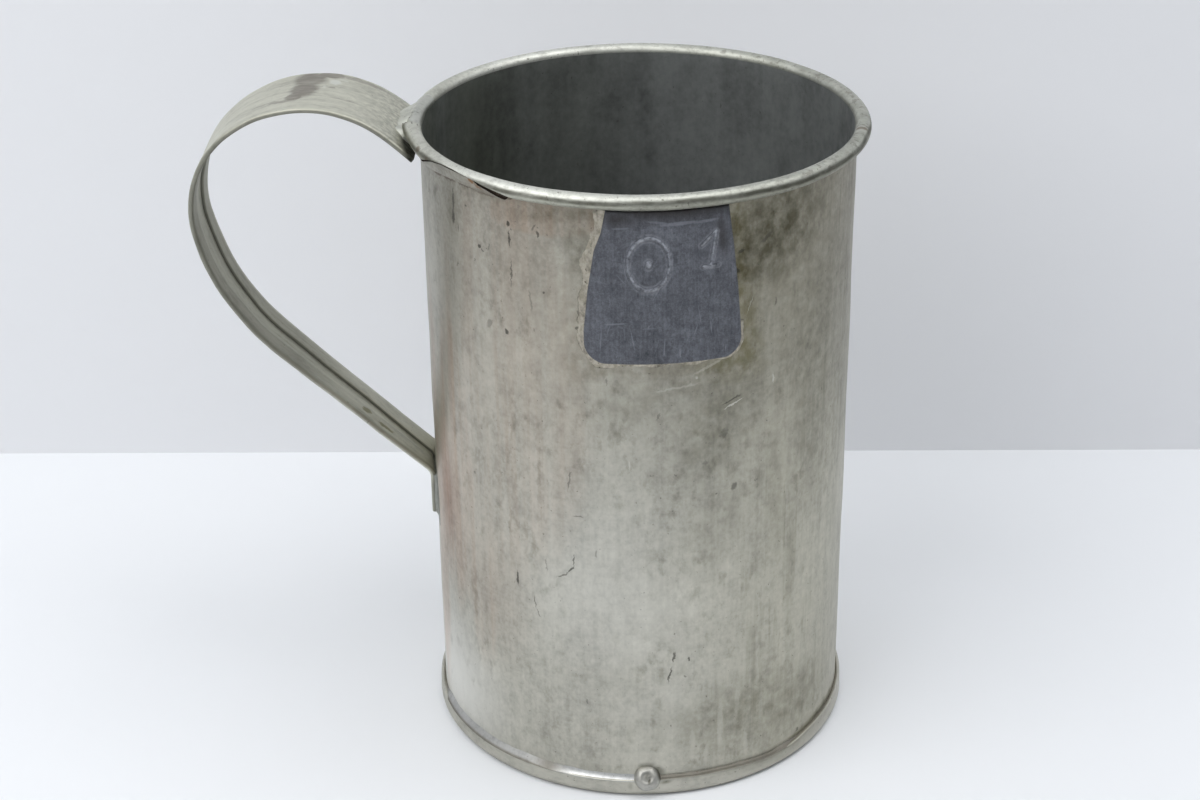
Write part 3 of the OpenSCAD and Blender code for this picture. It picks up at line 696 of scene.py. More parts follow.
def tin_outside(colours, seals, outer):
    """Cold-rolled tinplate, dulled by age: soft grey reflections under wipe marks, stains and scratches."""
    look = Look(WALL_FINISH, [
        ((0.9, 0.9, 1.2), 3, 0.2), ((2.6, 2.6, 3.4), 4, 0.24), ((0.9, 0.9, 30), 2, 0.08),
        ((4, 4, 70), 2, 0.13), ((9, 9, 0.8), 2, 0.06), ((14, 14, 18), 4, 0.22), ((45, 45, 60), 2, 0.2),
    ], tones(colours.tin, 0.6, 1.28), (0.5, 0.36), 0.022)
    chart = add(look.tree, UV_MAP, uv_map="wall")
    torn = look.torn(chart, 0.9, 1.2)
    split = add(look.tree, SPLIT, {0: torn}, out=None)
    # The wall darkens towards the rim, least on the left and most on the right: partly tarnish where hands
    # hold the jug, partly painted shade for the darker reflection of the upper wall.
    rim_tarnish_and_shade = add(look.tree, RANGE, {"Value": split["Y"], "From Min": 45 * MM, "From Max": 150 * MM},
                  interpolation_type="SMOOTHSTEP")
    across = add(look.tree, SPLIT, {0: look.place}, out="X")
    rim_shade_side = add(look.tree, RANGE,
                    {"Value": across, "From Min": -37 * MM, "From Max": 21 * MM, "To Min": 0.44})
    clouds = look.patches((3.0, 3.0, 3.4), 0.36, 0.62, 5.0)
    blots = look.within(look.patches((2.9, 2.9, 4.4), 0.53, 0.7, 5.0, 3.7),
                        look.patches((17, 17, 22), 0.42, 0.6), 0.2)
    wiped = look.within(look.patches((1.7, 1.7, 34), 0.5, 0.68, 3.0, 1.3),
                        look.patches((9, 9, 16), 0.4, 0.65, 3.0), 0.15)
    streaks = look.patches((2.6, 2.6, 90), 0.4, 0.6, 2.0, 5.1)
    look.tint(look.within(look.within(rim_tarnish_and_shade, rim_shade_side), clouds, 0.72), "#c5c2bc")
    grit_side = add(look.tree, RANGE, {"Value": split["Y"], "From Min": 116 * MM, "From Max": 142 * MM})
    look.lay(look.within(grit_side, look.patches((0.8, 0.8, 0.9), 0.46, 0.62)), "#857e76", 0.32, rough=0.55)
    # Pale rubbed tin, partly painted highlight on the far left.
    look.lay(look.spots(chart, WALL_RUBBED_AND_LIT, 1.0), "#e2e1db", 0.6)
    look.tint(look.spots(torn, WALL_FLUSH, 1.0), "#d4bdb1", 0.95)
    look.tint(look.within(look.spots(torn, WALL_WARM, 0.35), streaks, 0.35), "#f5e2d9", 0.85)
    # Grimy stains, with painted shade under the bead and just above the hem.
    look.tint(look.within(look.spots(torn, WALL_GRIME_AND_SHADE, 1.0), clouds, 0.42), "#a5a497", 0.9, rough=0.52)
    look.tint(blots, "#b9b8b0", 0.6)
    # Wipe marks darken the right side, and the whole wall is darkened a little towards the right as painted
    # shade.
    worn_and_shaded_right = add(look.tree, RANGE,
                    {"Value": across, "From Min": 8 * MM, "From Max": 31 * MM, "To Min": 0.15})
    look.tint(look.within(wiped, worn_and_shaded_right), "#bdbdb4", 0.5)
    look.tint(worn_and_shaded_right, "#f6f5f0")
    # Solder wiped out around the plate: pale on its left and below it, olive on its right.
    left, right = plate_halo(look, split, seals, outer)
    look.tint(look.within(left, clouds, 0.35), "#c9c2b6", 0.5, rough=0.5)
    look.tint(look.within(right, clouds, 0.3), "#c9c4a4", 0.8)
    # Painted shadow on the wall beside the lead drop.
    look.tint(look.spots(chart, WALL_DROP_SHADOW, 0.8), "#84847c")
    # Painted shade under the lip's ridge.
    look.lay(look.spots(torn, LIP_SHADE), "#6f625a", 0.7, rough=0.7)
    look.lay(look.spots(torn, WALL_RUST), "#86603a", 0.9, rough=0.8, metal=0.2)
    look.lay(look.specks(0.8, 0.2), "#4a4843", 0.5, rough=0.7, height=-0.4)
    look.lay(look.spots(torn, WALL_NICKS), "#d2d0c6", 0.7, rough=0.35, height=0.2)
    look.lay(look.spots(torn, WALL_SCRATCHES), "#2a2823", 0.85, rough=0.8, metal=0.2, height=-1.0)
    return look.done()


# Olive stain and painted shade inside, on the left beside the seam, in the wall's terms.
INSIDE_STAIN_AND_SHADE = [(-80.0, 100.0, 140.0, 26.0, 90, 1.0), (-104.0, 100.0, 140.0, 36.0, 90, 1.0),
                (-126.0, 100.0, 140.0, 36.0, 90, 0.55), (172.4, 100.0, 140.0, 36.0, 90, 0.55)]


def tin_inside(colours):
    """Tinplate left unpolished inside: a dull, darker grey with faint upright streaks."""
    look = Look("Tinplate, dull inside", [
        ((1.2, 1.2, 20), 3, 0.08), ((8, 8, 90), 2, 0.3), ((9, 9, 12), 4, 0.4), ((1.6, 1.6, 1.9), 3, 0.28),
    ], tones(colours.inside, 0.55, 1.4), (0.62, 0.48), 0.04, metallic=0.7)
    chart = add(look.tree, UV_MAP, uv_map="wall")
    look.tint(look.spots(chart, INSIDE_STAIN_AND_SHADE, 1.0), "#c0c2b2")
    look.lay(look.specks(1.0, 0.19), "#4f4e49", 0.5, rough=0.75)
    return look.done()


# Brown spots on the bead, in the wall's terms.
RIM_BROWN = [(-55.7, 145.0, 1.1, 0.7, 0, 0.8), (64.3, 145.8, 0.9, 0.5, 0, 0.8),
             (-50.5, 144.7, 0.8, 0.5, 20, 0.5)]


def tin_rim(colours):
    """The same tinplate on the rim, rubbed pale by use: light, soft reflections with worn specks."""
    look = Look("Tinplate, rubbed bright on the rim", [
        ((2.2, 2.2, 1.2), 4, 0.35), ((9, 9, 3), 3, 0.3), ((0.5, 0.5, 0.5), 2, 0.2),
    ], tones(colours.rim, 0.66, 1.12), (0.6, 0.46), 0.03)
    chart = add(look.tree, UV_MAP, uv_map="wall")
    away = add(look.tree, SPLIT, {0: look.place}, out="X")
    # The attribute is the angle on the bead: 90 on its top, 0 on its outside.
    bead = add(look.tree, NAMED, attribute_name="bead", out="Fac")
    clouds = look.patches((5, 5, 2), 0.3, 0.6)
    sway = add(look.tree, RANGE, {"Value": look.patches((14, 14, 14), 0.3, 0.7, 1.0), "To Min": 6.0,
                                  "To Max": 30.0})
    off = add(look.tree, MATH, {0: bead, 1: sway}, operation="SUBTRACT")
    wide = add(look.tree, MATH, {0: off}, operation="ABSOLUTE")
    # Painted dark reflection: a wavering dark stripe on the bead just above its outside.
    dark_reflection_stripe = add(look.tree, RANGE, {"Value": wide, "From Min": 24.0, "From Max": 7.0})
    below = add(look.tree, RANGE, {"Value": bead, "From Min": 30.0, "From Max": 0.0})
    right = add(look.tree, RANGE, {"Value": away, "From Min": -24 * MM, "From Max": 30 * MM})
    left = add(look.tree, RANGE, {"Value": away, "From Min": -33 * MM, "From Max": -45 * MM})
    # Painted shade: the bead is darker below its outside.
    look.tint(below, "#d6d5cf")
    look.tint(look.within(dark_reflection_stripe, clouds, 0.5), "#8c8b84", 0.9, rough=0.6)
    look.tint(look.within(right, clouds, 0.6), "#b2b3ad", 0.7)
    look.lay(look.within(right, look.patches((1.6, 1.6, 1.0), 0.54, 0.64)), "#6d6a62", 0.5, rough=0.6)
    look.tint(look.within(left, clouds, 0.6), "#dcdbd6", 0.8)
    look.lay(look.patches((2.4, 2.4, 0.9), 0.54, 0.7), "#8f8d86", 0.4, rough=0.65)
    look.lay(look.specks(0.8, 0.16), "#5d574d", 0.6, rough=0.6)
    look.lay(look.spots(chart, RIM_BROWN), "#6b5a48", 0.8, rough=0.6)
    # The curl's open end at the handle is darkened: rust and painted shade inside the tube's mouth.
    mouth = add(look.tree, NAMED, attribute_name="mouth", out="Fac")
    look.lay(mouth, "#3a342c", 0.8, rough=0.8, metal=0.3)
    return look.done()


def rust():
    """Bare iron edge and hollow of the open curl: matt dark brown rust."""
    look = Look("Iron edge, rusted", [((0.6, 0.6, 0.6), 4, 0.6), ((2.5, 2.5, 2.5), 3, 0.4)],
                tones(linear("#35291f"), 0.5, 1.8), (0.9, 0.75), 0.05, metallic=0.1)
    return look.done()


# Grime on the base hem, in the wall's terms.
HEM_GRIME = [(36.0, 5.0, 30.0, 6.0, 0, 0.72), (5.6, 3.6, 2.0, 0.8, 8, 1.0), (-2.2, 2.6, 0.8, 1.6, 0, 0.5)]


def tin_base(colours):
    """Tinplate of the base hem, dulled and scuffed by the table, grimy below its edge."""
    look = Look("Tinplate, scuffed base hem", [
        ((1.5, 1.5, 1.0), 4, 0.3), ((7, 7, 4), 3, 0.3), ((30, 30, 30), 2, 0.3),
    ], tones(shaded(colours.tin, 1.04), 0.66, 1.14), (0.5, 0.38), 0.02)
    chart = add(look.tree, UV_MAP, uv_map="wall")
    look.tint(look.spots(chart, HEM_GRIME, 1.0), "#b5b4ab", 0.9)
    look.lay(look.specks(0.9, 0.18), "#57534b", 0.6, rough=0.7)
    return look.done()


# Worn patch over the strap's crown, pale flecks beside it and olive stains below: length from the rim,
# distance across, then as on the wall.
STRAP_WORN = [
    (27.4, 7.6, 4.6, 5.4, 0, 1.0), (27.9, 0.8, 3.9, 6.2, 0, 1.0), (29.4, -3.6, 2.6, 3.4, 20, 1.0),
    (23.0, 10.6, 4.0, 2.2, 0, 1.0), (32.4, -5.8, 3.4, 1.0, 8, 0.7), (16.5, 11.0, 7.5, 1.3, -4, 0.6),
    (36.0, -4.6, 4.0, 0.7, 4, 0.5), (22.1, 2.6, 0.9, 0.8, 0, 0.6), (18.2, -3.5, 4.0, 0.5, 0, 0.4),
]
STRAP_FLECKS = [(21.8, 6.4, 1.8, 2.2, 0, 1.0), (20.0, 8.4, 1.8, 0.7, 0, 0.5), (23.6, 2.6, 0.6, 1.6, 0, 0.5)]
STRAP_OLIVE = [(132.0, -4.0, 1.8, 1.2, 20, 0.9), (138.0, -4.6, 3.0, 1.0, 10, 0.9)]


def tin_strap(colours):
    """Tinplate strap with a greenish grey film of age, brushed along its length by the hand that holds it."""
    look = Look("Tinplate strap, brushed by the hand", [
        ((30, 0.5, 1), 3, 0.14), ((45, 2.0, 1), 3, 0.28), ((12, 4.5, 1), 4, 0.44), ((1.6, 0.9, 1), 3, 0.24),
    ], tones(colours.strap, 0.66, 1.16), (0.55, 0.38), 0.025, chart="strap")
    grime = add(look.tree, NAMED, attribute_name="grime", out="Fac")
    # A grimy film that thins out towards the foot; the hem slits and the near fold stay dark all along, as
    # painted shade.
    along = add(look.tree, SPLIT, {0: look.place}, out="X")
    thick = add(look.tree, RANGE, {"Value": along, "From Min": 136 * MM, "From Max": 112 * MM})
    crease = add(look.tree, RANGE, {"Value": grime, "From Min": 0.62, "From Max": 0.85})
    thick = add(look.tree, MATH, {0: thick, 1: crease}, operation="MAXIMUM")
    look.lay(look.within(grime, thick, 0.16), "#3a3b33", 0.75, rough=0.7)
    # Painted shadow on the strap's end under the bead, on its near side.
    spot = add(look.tree, "ShaderNodeTexCoord", out="Object")
    split = add(look.tree, SPLIT, {0: spot}, out=None)
    reach = add(look.tree, VECTOR_MATH, {0: spot, 1: (1, 1, 0)}, operation="MULTIPLY")
    reach = add(look.tree, VECTOR_MATH, {0: reach}, operation="LENGTH", out="Value")
    close = add(look.tree, RANGE, {"Value": reach, "From Min": 52.2 * MM, "From Max": 51.0 * MM})
    high = add(look.tree, RANGE, {"Value": split["Z"], "From Min": 130 * MM, "From Max": 136 * MM})
    near = add(look.tree, RANGE, {"Value": split["Y"], "From Min": -1 * MM, "From Max": -4 * MM})
    look.lay(look.within(look.within(close, high), near), "#22231d", 0.9, rough=0.8)
    # The rim end is mottled, and the tab at the foot is darkened as painted shade.
    rim_end = add(look.tree, RANGE, {"Value": along, "From Min": 20 * MM, "From Max": 7 * MM})
    look.lay(look.within(rim_end, look.patches((1.5, 1.2, 1), 0.4, 0.6)), "#83837a", 0.5, rough=0.6)
    tab = add(look.tree, RANGE, {"Value": split["Z"], "From Min": 61 * MM, "From Max": 58 * MM})
    look.lay(tab, "#5c5d56", 0.5, rough=0.65)
    worn = look.torn(look.place, 1.5, 1.7)
    look.lay(look.within(look.spots(worn, STRAP_WORN, 0.42), look.patches((5, 1.6, 1), 0.25, 0.6), 0.62),
             "#857f76", 0.9, rough=0.5, height=-0.4)
    look.lay(look.spots(worn, STRAP_FLECKS, 0.5), "#d9dad2", 0.8)
    look.lay(look.spots(worn, STRAP_OLIVE), "#7d7a55", 0.7, rough=0.7)
    look.lay(look.specks(0.8, 0.19), "#565449", 0.6, rough=0.7)
    return look.done()


def wiped_solder(tone, name="Solder, wiped", shade=1.0, rough=(0.5, 0.32)):
    """Soft tin-lead solder wiped smooth while hot: pale, satin, with a faint frosty mottle."""
    look = Look(name, [((1.2, 1.2, 1.2), 4, 0.4), ((5, 5, 5), 3, 0.4), ((0.4, 0.4, 0.4), 2, 0.15)],
                tones(shaded(tone, shade), 0.7, 1.14), rough, 0.04)
    # Darkening given per vertex where a piece carries it: soiling and painted shade.
    soiled_and_shaded = add(look.tree, NAMED, attribute_name="soiled_and_shaded", out="Fac")
    look.tint(soiled_and_shaded, "#a5a096", 1.0, rough=0.6)
    look.lay(look.specks(1.1, 0.17), "#6a655a", 0.6, rough=0.6)
    return look.done()


def margin_solder():
    """Solder wiped thin around the lead plate: a pale beige, rough margin with dark pits."""
    look = Look("Solder margin, wiped thin",
                [((0.8, 0.8, 1.0), 4, 0.5), ((2.0, 2.0, 2.8), 4, 0.6), ((5, 5, 8), 2, 0.3)],
                tones(linear("#a8a295"), 0.42, 1.3), (0.55, 0.42), 0.08)
    look.lay(look.patches((1.3, 1.3, 2.2), 0.5, 0.62), "#8a8675", 0.6)
    look.lay(look.specks(1.3, 0.14), "#5b574c", 0.75, rough=0.7, height=-0.5)
    edge = add(look.tree, NAMED, attribute_name="edge", out="Fac")
    look.lay(look.within(edge, look.patches([1.4] * 3, 0.36, 0.56)), "#5f5b52", 0.8, rough=0.7)
    return look.done()


# Shade under the bead and scrapes on the lead plate, in the wall's terms.
LEAD_SHADE = [(6.0, 142.6, 30.0, 4.6, 0, 1.0), (-4.0, 140.6, 7.0, 3.4, 0, 0.8),
              (17.0, 136.0, 1.8, 8.0, 8, 0.7)]
LEAD_SCRATCHES = [
    (-7.8 + 1.62 * i, 113.4 + 3.4 * math.sin(2.3 * i), 1.6 + 1.3 * math.cos(1.7 * i), 0.16,
     86 + 14 * math.sin(5.1 * i), 0.5 + 0.3 * math.sin(3.3 * i)) for i in range(17)
] + [
    (-4.6, 117.4, 3.0, 0.25, 6, 0.7), (8.0, 139.2, 5.0, 0.5, 3, 0.8), (13.5, 139.3, 3.4, 0.4, 4, 0.7),
    (4.0, 139.6, 3.0, 0.35, -8, 0.6), (-3.6, 138.4, 2.2, 0.3, 4, 0.5), (2.0, 116.4, 1.8, 0.2, 2, 0.5),
    (3.5, 124.0, 2.2, 0.18, 62, 0.4), (12.4, 119.0, 2.8, 0.18, 100, 0.5), (-3.6, 127.4, 1.8, 0.18, 130, 0.4),
]


def oxidised_lead(colours):
    """Sheet lead under its blue-grey oxide: nearly matt, with paler scratches where it was scraped."""
    look = Look("Sheet lead, oxidised", [
        ((2.2, 2.2, 2.8), 5, 0.34), ((0.7, 0.7, 0.9), 3, 0.32), ((0.5, 0.5, 9), 3, 0.2),
        ((0.3, 0.3, 0.3), 2, 0.26), ((9, 9, 9), 2, 0.22),
    ], tones(colours.lead, 0.52, 1.6), (0.62, 0.45), 0.06, metallic=0.75)
    chart = add(look.tree, UV_MAP, uv_map="wall")
    look.lay(look.spots(chart, LEAD_SHADE, 1.0), "#393533", 0.9, rough=0.6)
    look.lay(look.spots(chart, LEAD_SCRATCHES), "#9a9da6", 0.4, rough=0.4, height=-0.5)
    # The punched marks are laid paler: a painted highlight along their grooves.
    punched = add(look.tree, NAMED, attribute_name="punched", out="Fac")
    look.lay(look.within(punched, look.patches([0.8] * 3, 0.3, 0.6)), "#b2b5bc", 0.95, rough=0.4)
    return look.done()


# Darker marks on the lead drop, in the wall's terms: its middle, a pit painted as shade, and painted shadow
# along its right edge.
DROP_SHADE_MARKS = [(1.5, 5.8, 1.5, 1.3, 0, 0.6), (1.9, 4.9, 0.9, 0.5, 70, 1.0), (4.4, 5.6, 1.0, 2.6, 10, 1.0)]


def drop_lead(colours):
    """Lead drop, rubbed to a plain satin grey on its crown, darker in its dimple, with a painted dark pit and
    painted shadow at its root on the right.
    """
    look = Look("Lead drop, rubbed", [((0.9, 0.9, 0.9), 4, 0.4), ((2.5, 2.5, 2.5), 3, 0.4)],
                tones(colours.drop, 0.72, 1.14), (0.55, 0.42), 0.04, metallic=0.9)
    chart = add(look.tree, UV_MAP, uv_map="wall")
    look.tint(look.spots(chart, DROP_SHADE_MARKS, 0.9), "#9b9a92")
    return look.done()


def steel_wire(colours):
    """Drawn steel wire under the curl, brown with age."""
    look = Look("Steel wire, drawn and browned", [((0.8, 0.8, 0.8), 4, 0.5), ((4, 4, 2), 3, 0.4)],
                tones(colours.wire, 0.5, 1.5), (0.75, 0.5), 0.03, metallic=0.6)
    return look.done()


# Body sheet.
WALL_ROWS = 49
CURL_STEPS = 30
COLUMN_STEP = 1.0
# Where the curl's free edge stops short, left of the plate: azimuth and angle on the bead, in degrees.
OPEN_LIP = [(190, -124.85), (198, -85), (204.7, -36), (208, 0), (211.6, 25), (215.9, 42), (220.7, 43.5),
            (225, 32), (229, 21), (232.5, 6), (236.3, -11.5), (239, -35), (242, -75), (246, -124.85)]
# The fill below that edge: azimuth and height in mm of its top and of the ridge at its foot.
LIP_FILL_TOP = [(200.5, 141.4), (208.6, 143.72), (214.1, 144.48), (219.3, 144.55), (221.8, 144.5),
                (223.8, 144.36), (225.2, 144.3), (226.6, 144.25), (228.4, 143.5), (231.6, 142.95),
                (235.1, 142.22), (239.5, 141.7)]
LIP_FILL_FOOT = [(197.6, 140.4), (205.1, 141.1), (210.6, 141.65), (217.8, 142.1), (223.6, 142.0),
                 (233.5, 141.9)]
BEAD_SQUASH = 0.84
LIP_LIFT = 0.10 * MM
TUBE_FLARE = 0.85 * MM


def wall_profile(body, curled):
    """Closed profile of the sheet: up the outside, around the curl, and down the inside."""
    outer = body.outer_r
    heights = np.linspace(body.sheet, body.bead_z, WALL_ROWS)
    up = [(outer, z) for z in heights]
    down = [(body.inside_r, z) for z in heights[::-1]]
    curl = []
    if curled:
        hub = (body.ring_r, body.bead_z)
        end = math.degrees(body.curl_end)
        curl_r = body.wire_d / 2 + body.wire_play
        curl += arc(hub, curl_r, 180, end, CURL_STEPS)[1:]
        curl += arc(hub, curl_r + body.sheet, end, 180, CURL_STEPS)[:-1]
    points = up + curl + down
    return [(r, 0.0, z) for r, z in points + points[:1]]


def lip_edge(azimuth):
    """Angle on the bead, in degrees, at which the curl's free edge stops at an azimuth."""
    return np.interp(azimuth, *zip(*OPEN_LIP))


def end_skew(angle):
    """Shift in azimuth of the curl's near end, which is cut at a slant, at an angle on the bead."""
    return np.interp(angle, (10, 106), (-1.5, 3.4))


def shape_rim(body, rows):
    """Opens the curl where its edge stops short and shapes its ends. Gives places, bead angles and mouth."""
    azimuth, radius, height = polar(rows)
    dr, dz = radius - body.ring_r, height - body.bead_z
    on_curl = (dz > -1e-6) | ((dr > -1.2 * MM) & (height > body.bead_z - 3 * MM))
    on_curl &= np.hypot(dr, dz) < 2.5 * MM
    turn = 180 - np.degrees(np.arctan2(dz, dr))
    full = 180 - math.degrees(body.curl_end)
    edge = 180 - lip_edge(azimuth)
    share = np.clip(turn / full, 0, 1)
    new_turn = turn * edge / full
    opened = 1 - edge / full
    rim_r = np.hypot(dr, dz) + LIP_LIFT * ease(opened, 0.05, 0.4) * ease(share, 0.6, 1.0)
    # The curl's two ends beside the rim's solder are tapped round, and the near one stands open and slanted.
    gap_from, gap_to = math.degrees(body.solder_from), math.degrees(body.solder_to)
    for past, pinch in (((azimuth - gap_to) % 360, 0.06), ((gap_from - azimuth) % 360, 0.16)):
        rim_r = rim_r * (1 - pinch * (1 - ease(past, 0, 1.8)) * ease(share, 0.05, 0.3))
    end = 1 - ease((azimuth - gap_to) % 360, 0, 9)
    rim_r = rim_r + TUBE_FLARE * end * ease(180 - new_turn, 62, 18)
    mouth = on_curl * (1 - ease((azimuth - gap_to) % 360, 0, 0.5))
    azimuth = azimuth + on_curl * end * end_skew(180 - new_turn)
    angle = np.radians(180 - new_turn)
    new_dz = rim_r * np.sin(angle)
    new_dz = np.where(new_dz < 0, new_dz * BEAD_SQUASH, new_dz)
    radius = np.where(on_curl, body.ring_r + rim_r * np.cos(angle), radius)
    height = np.where(on_curl, body.bead_z + new_dz, height)
    # Slight unevenness of the beaten bead, always inwards or downwards.
    sway = wobble(rows * np.array([1, 1, 0]), 16 * MM, 4)
    radius -= on_curl * 0.12 * MM * (0.5 + 0.5 * sway) * ease(share, 0.1, 0.5)
    height += on_curl * 0.1 * MM * (sway - 1) * ease(share, 0.0, 0.3)
    return from_polar(azimuth, radius, height), np.where(on_curl, np.degrees(angle), 180.0), mouth


def lap_seam(body, rows):
    """Raises the outer lap of the side seam, with a crisp free edge and a soft step."""
    azimuth, radius, height = polar(rows)
    edge, step = math.degrees(body.lap_edge), math.degrees(body.lap_step)
    outside = radius > body.inside_r + body.sheet / 2
    inside_lap = (azimuth >= edge - COLUMN_STEP) & (azimuth < edge)
    azimuth = np.where(inside_lap, edge - 0.06, azimuth)
    first = (azimuth >= edge) & (azimuth < edge + COLUMN_STEP)
    azimuth = np.where(first, edge, azimuth)
    lift = ((azimuth >= edge) & (azimuth <= step)) * (1 - ease(azimuth, step - 0.9, step))
    low_end = ease(height, LAP_LOW.z - 1.5 * MM, LAP_LOW.z)
    high_end = 1 - ease(height, LAP_HIGH.z - 0.5 * MM, LAP_HIGH.z + MM)
    radius = radius + outside * lift * (low_end * high_end) * body.lap_rise
    return from_polar(azimuth, radius, height)


def build_body(context):
    """Rolled wall with its curled rim and lapped seam, in one sheet."""
    body, colours = context.scene.jug_body, context.scene.jug_colours
    tree = turned_tree()
    outside = tin_outside(colours, context.scene.jug_seals, body.outer_r)
    gap_from, gap_to = math.degrees(body.solder_from), math.degrees(body.solder_to)
    parts = []
    for name, curled, start, end in (("body_sheet_wall", True, gap_to, gap_from + 360),
                                     ("bare_wall", False, gap_from, gap_to)):
        parts.append(grown(name, wall_profile(body, curled), tree, **{
            "From": math.radians(start), "Sweep": math.radians(end - start),
            "Columns": round((end - start) / COLUMN_STEP) + 1, "Dent": body.dent, "Dent size": 22 * MM,
            "Dent low": 6 * MM, "Dent high": 141 * MM, "Dent fade": 20 * MM, "Seed": body.seed,
            "Material": outside,
        }))
    obj = joined(*parts)
    tidy_mesh(obj.data, cap=True)
    rows, bead, mouth = shape_rim(body, places(obj.data))
    put_places(obj.data, lap_seam(body, rows))
    mark(obj.data, "bead", bead)
    mark(obj.data, "mouth", mouth)
    paint_body(obj.data, body, [outside, tin_inside(colours), tin_rim(colours), rust()])
    obj.data.set_sharp_from_angle(angle=math.radians(40))
    unroll(obj)
    hand_over(obj, "tinplate_body", "body_sheet")


def paint_body(mesh, body, materials):
    """Gives the outside, the inside, the rubbed rim and the curl's hollow their own materials."""
    mesh.materials.clear()
    for material in materials:
        mesh.materials.append(material)
    outside, inside, rim, hollow = range(4)
    for face in mesh.polygons:
        middle, normal = face.center, face.normal
        radius = math.hypot(middle.x, middle.y)
        outward = (normal.x * middle.x + normal.y * middle.y) / radius
        dr, dz = radius - body.ring_r, middle.z - body.bead_z
        from_hub = dr * outward + dz * normal.z
        if dz > -0.05 * MM or (dr > -1.15 * MM and dz > -2.5 * MM):
            face.material_index = rim if from_hub > 0.5 * math.hypot(dr, dz) else hollow
        elif outward < 0:
            face.material_index = inside
        else:
            face.material_index = outside


# Rim solder.
# Materials of the rim's solder by number, and the bridge's girth and crevice, in mm and degrees.
# The rust material is laid in the lip's crack and in the bridge's crevice, partly as painted shade.
WALL, RUST_AND_SHADE = 1, 2
BRIDGE_LEAST, BRIDGE_SWELL = 1.12, 0.56
CREVICE = 1.0
# Azimuths between which the fill in the open lip is built, and where it and the pressed wire come and go,
# then radii: of the fill's top and foot about the jug's axis, and of its back about the wire.
FILL_SPAN = (192, 244)
FILL_IN, FILL_OUT = (198, 203), (236.5, 240)
PRESSED_IN, PRESSED_OUT = (197, 202), (236, 241)
FILL_TOP_R, FILL_FOOT_R, CORE_R = 49.2 * MM, 48.4 * MM, 0.9 * MM


def rim_bridge(body, materials):
    """Bridge over the wire's ends, grown out of the bead's far end, with a crevice at its near end laid dark
    in rust, partly as painted shade.
    """
    gap_from, gap_to = math.degrees(body.solder_from), math.degrees(body.solder_to)
    hub = (body.ring_r, body.bead_z)
    rings = []
    around = np.linspace(0, 360, 29)[:-1]
    for azimuth in np.linspace(gap_from - 2.0, gap_to + 1.0, 93):
        far = float(ease(azimuth, gap_from - 2.0, gap_from + 0.3))
        near = float(ease(gap_to - azimuth, -0.2, 1.5))
        girth = (BRIDGE_LEAST + BRIDGE_SWELL * far * near) * MM
        slant = end_skew((around + 180) % 360 - 180) * float(ease(azimuth, gap_to - 8, gap_to))
        rings.append(from_polar(azimuth + slant, hub[0] - 0.1 * MM + girth * np.cos(np.radians(around)),
                                hub[1] - 0.05 * MM + girth * np.sin(np.radians(around))))
    bridge = lofted("rim_solder_smear", rings, materials)
    rows = places(bridge.data)
    azimuth, radius, height = polar(rows)
    lump = wobble(rows, 4 * MM, 2)
    put_places(bridge.data, from_polar(azimuth, radius + 0.08 * MM * lump, height + 0.07 * MM * lump))
    for face in bridge.data.polygons:
        azimuth, radius, height = (float(v[0]) for v in polar(np.array([face.center])))
        angle = math.degrees(math.atan2(height - hub[1], radius - hub[0]))
        if azimuth - end_skew(angle) > gap_to - CREVICE:
            face.material_index = RUST_AND_SHADE
    return bridge


def lip_fill(body, materials):
    """Fill below the open lip, from the curl's edge down to the wall, with a rusty crack along the edge."""
    hub = (body.ring_r, body.bead_z)
    outer = body.outer_r
    crack_rows, fill_rows = 6, 12
    shares = np.linspace(0, 1, fill_rows)
    rings = []
    for azimuth in np.linspace(*FILL_SPAN, 157):
        edge = math.radians(lip_edge(azimuth) + 35)
        shown = float(ease(azimuth, *FILL_IN) * (1 - ease(azimuth, *FILL_OUT)))
        inside = np.array([hub[0] + 1.1 * MM * math.cos(edge), hub[1] + 1.1 * MM * math.sin(edge)])
        start = np.array([FILL_TOP_R, np.interp(azimuth, *zip(*LIP_FILL_TOP)) * MM])
        start = start * shown + inside * (1 - shown)
        foot = np.array([FILL_FOOT_R, np.interp(azimuth, *zip(*LIP_FILL_FOOT)) * MM])
        foot = foot * shown + np.array([outer - 0.1 * MM, body.bead_z - 1.2 * MM]) * (1 - shown)
        behind = start - np.array([0.5 * MM, 0.1 * MM]) * shown
        crack = inside + (behind - inside) * np.linspace(0, 1, crack_rows)[:, None]
        ridge = 0.08 * np.exp(-((shares - 0.93) / 0.06) ** 2)
        swell = shown * (0.12 * np.sin(math.pi * shares) + ridge) * MM
        face = start + (foot - start) * shares[:, None] + np.column_stack([swell, 0 * swell])
        back = np.array([[outer - 0.1 * MM, foot[1] - 0.5 * MM * shown],
                         [outer - 0.2 * MM, body.bead_z - 1.0 * MM]])
        # The back passes behind the wire, so that it can't come out through the fill's face.
        core = np.array(arc(hub, CORE_R, -140, math.degrees(edge) + 12 - 360, 10))
        ring = np.vstack([crack, face, back, core])
        rings.append(from_polar(azimuth, ring[:, 0], ring[:, 1]))
    shown_rows = crack_rows + fill_rows + 1
    paint = [RUST_AND_SHADE] * crack_rows + [WALL] * (fill_rows + 1) + [RUST_AND_SHADE] * (len(rings[0]) - shown_rows)
    return lofted("open_lip_fill", rings, materials, paint)


def build_rim(context):
    """Solder over the wire's ends at the handle and in the open stretch of the curl, and the wire."""
    body, colours = context.scene.jug_body, context.scene.jug_colours
    materials = [wiped_solder(colours.solder, shade=0.85), bpy.data.materials[WALL_FINISH], rust()]
    bridge = rim_bridge(body, materials)
    joined(bridge, lip_fill(body, materials))
    unroll(bridge)
    hand_over(bridge, "solder", "rim_solder")
    build_wire(body, steel_wire(colours))


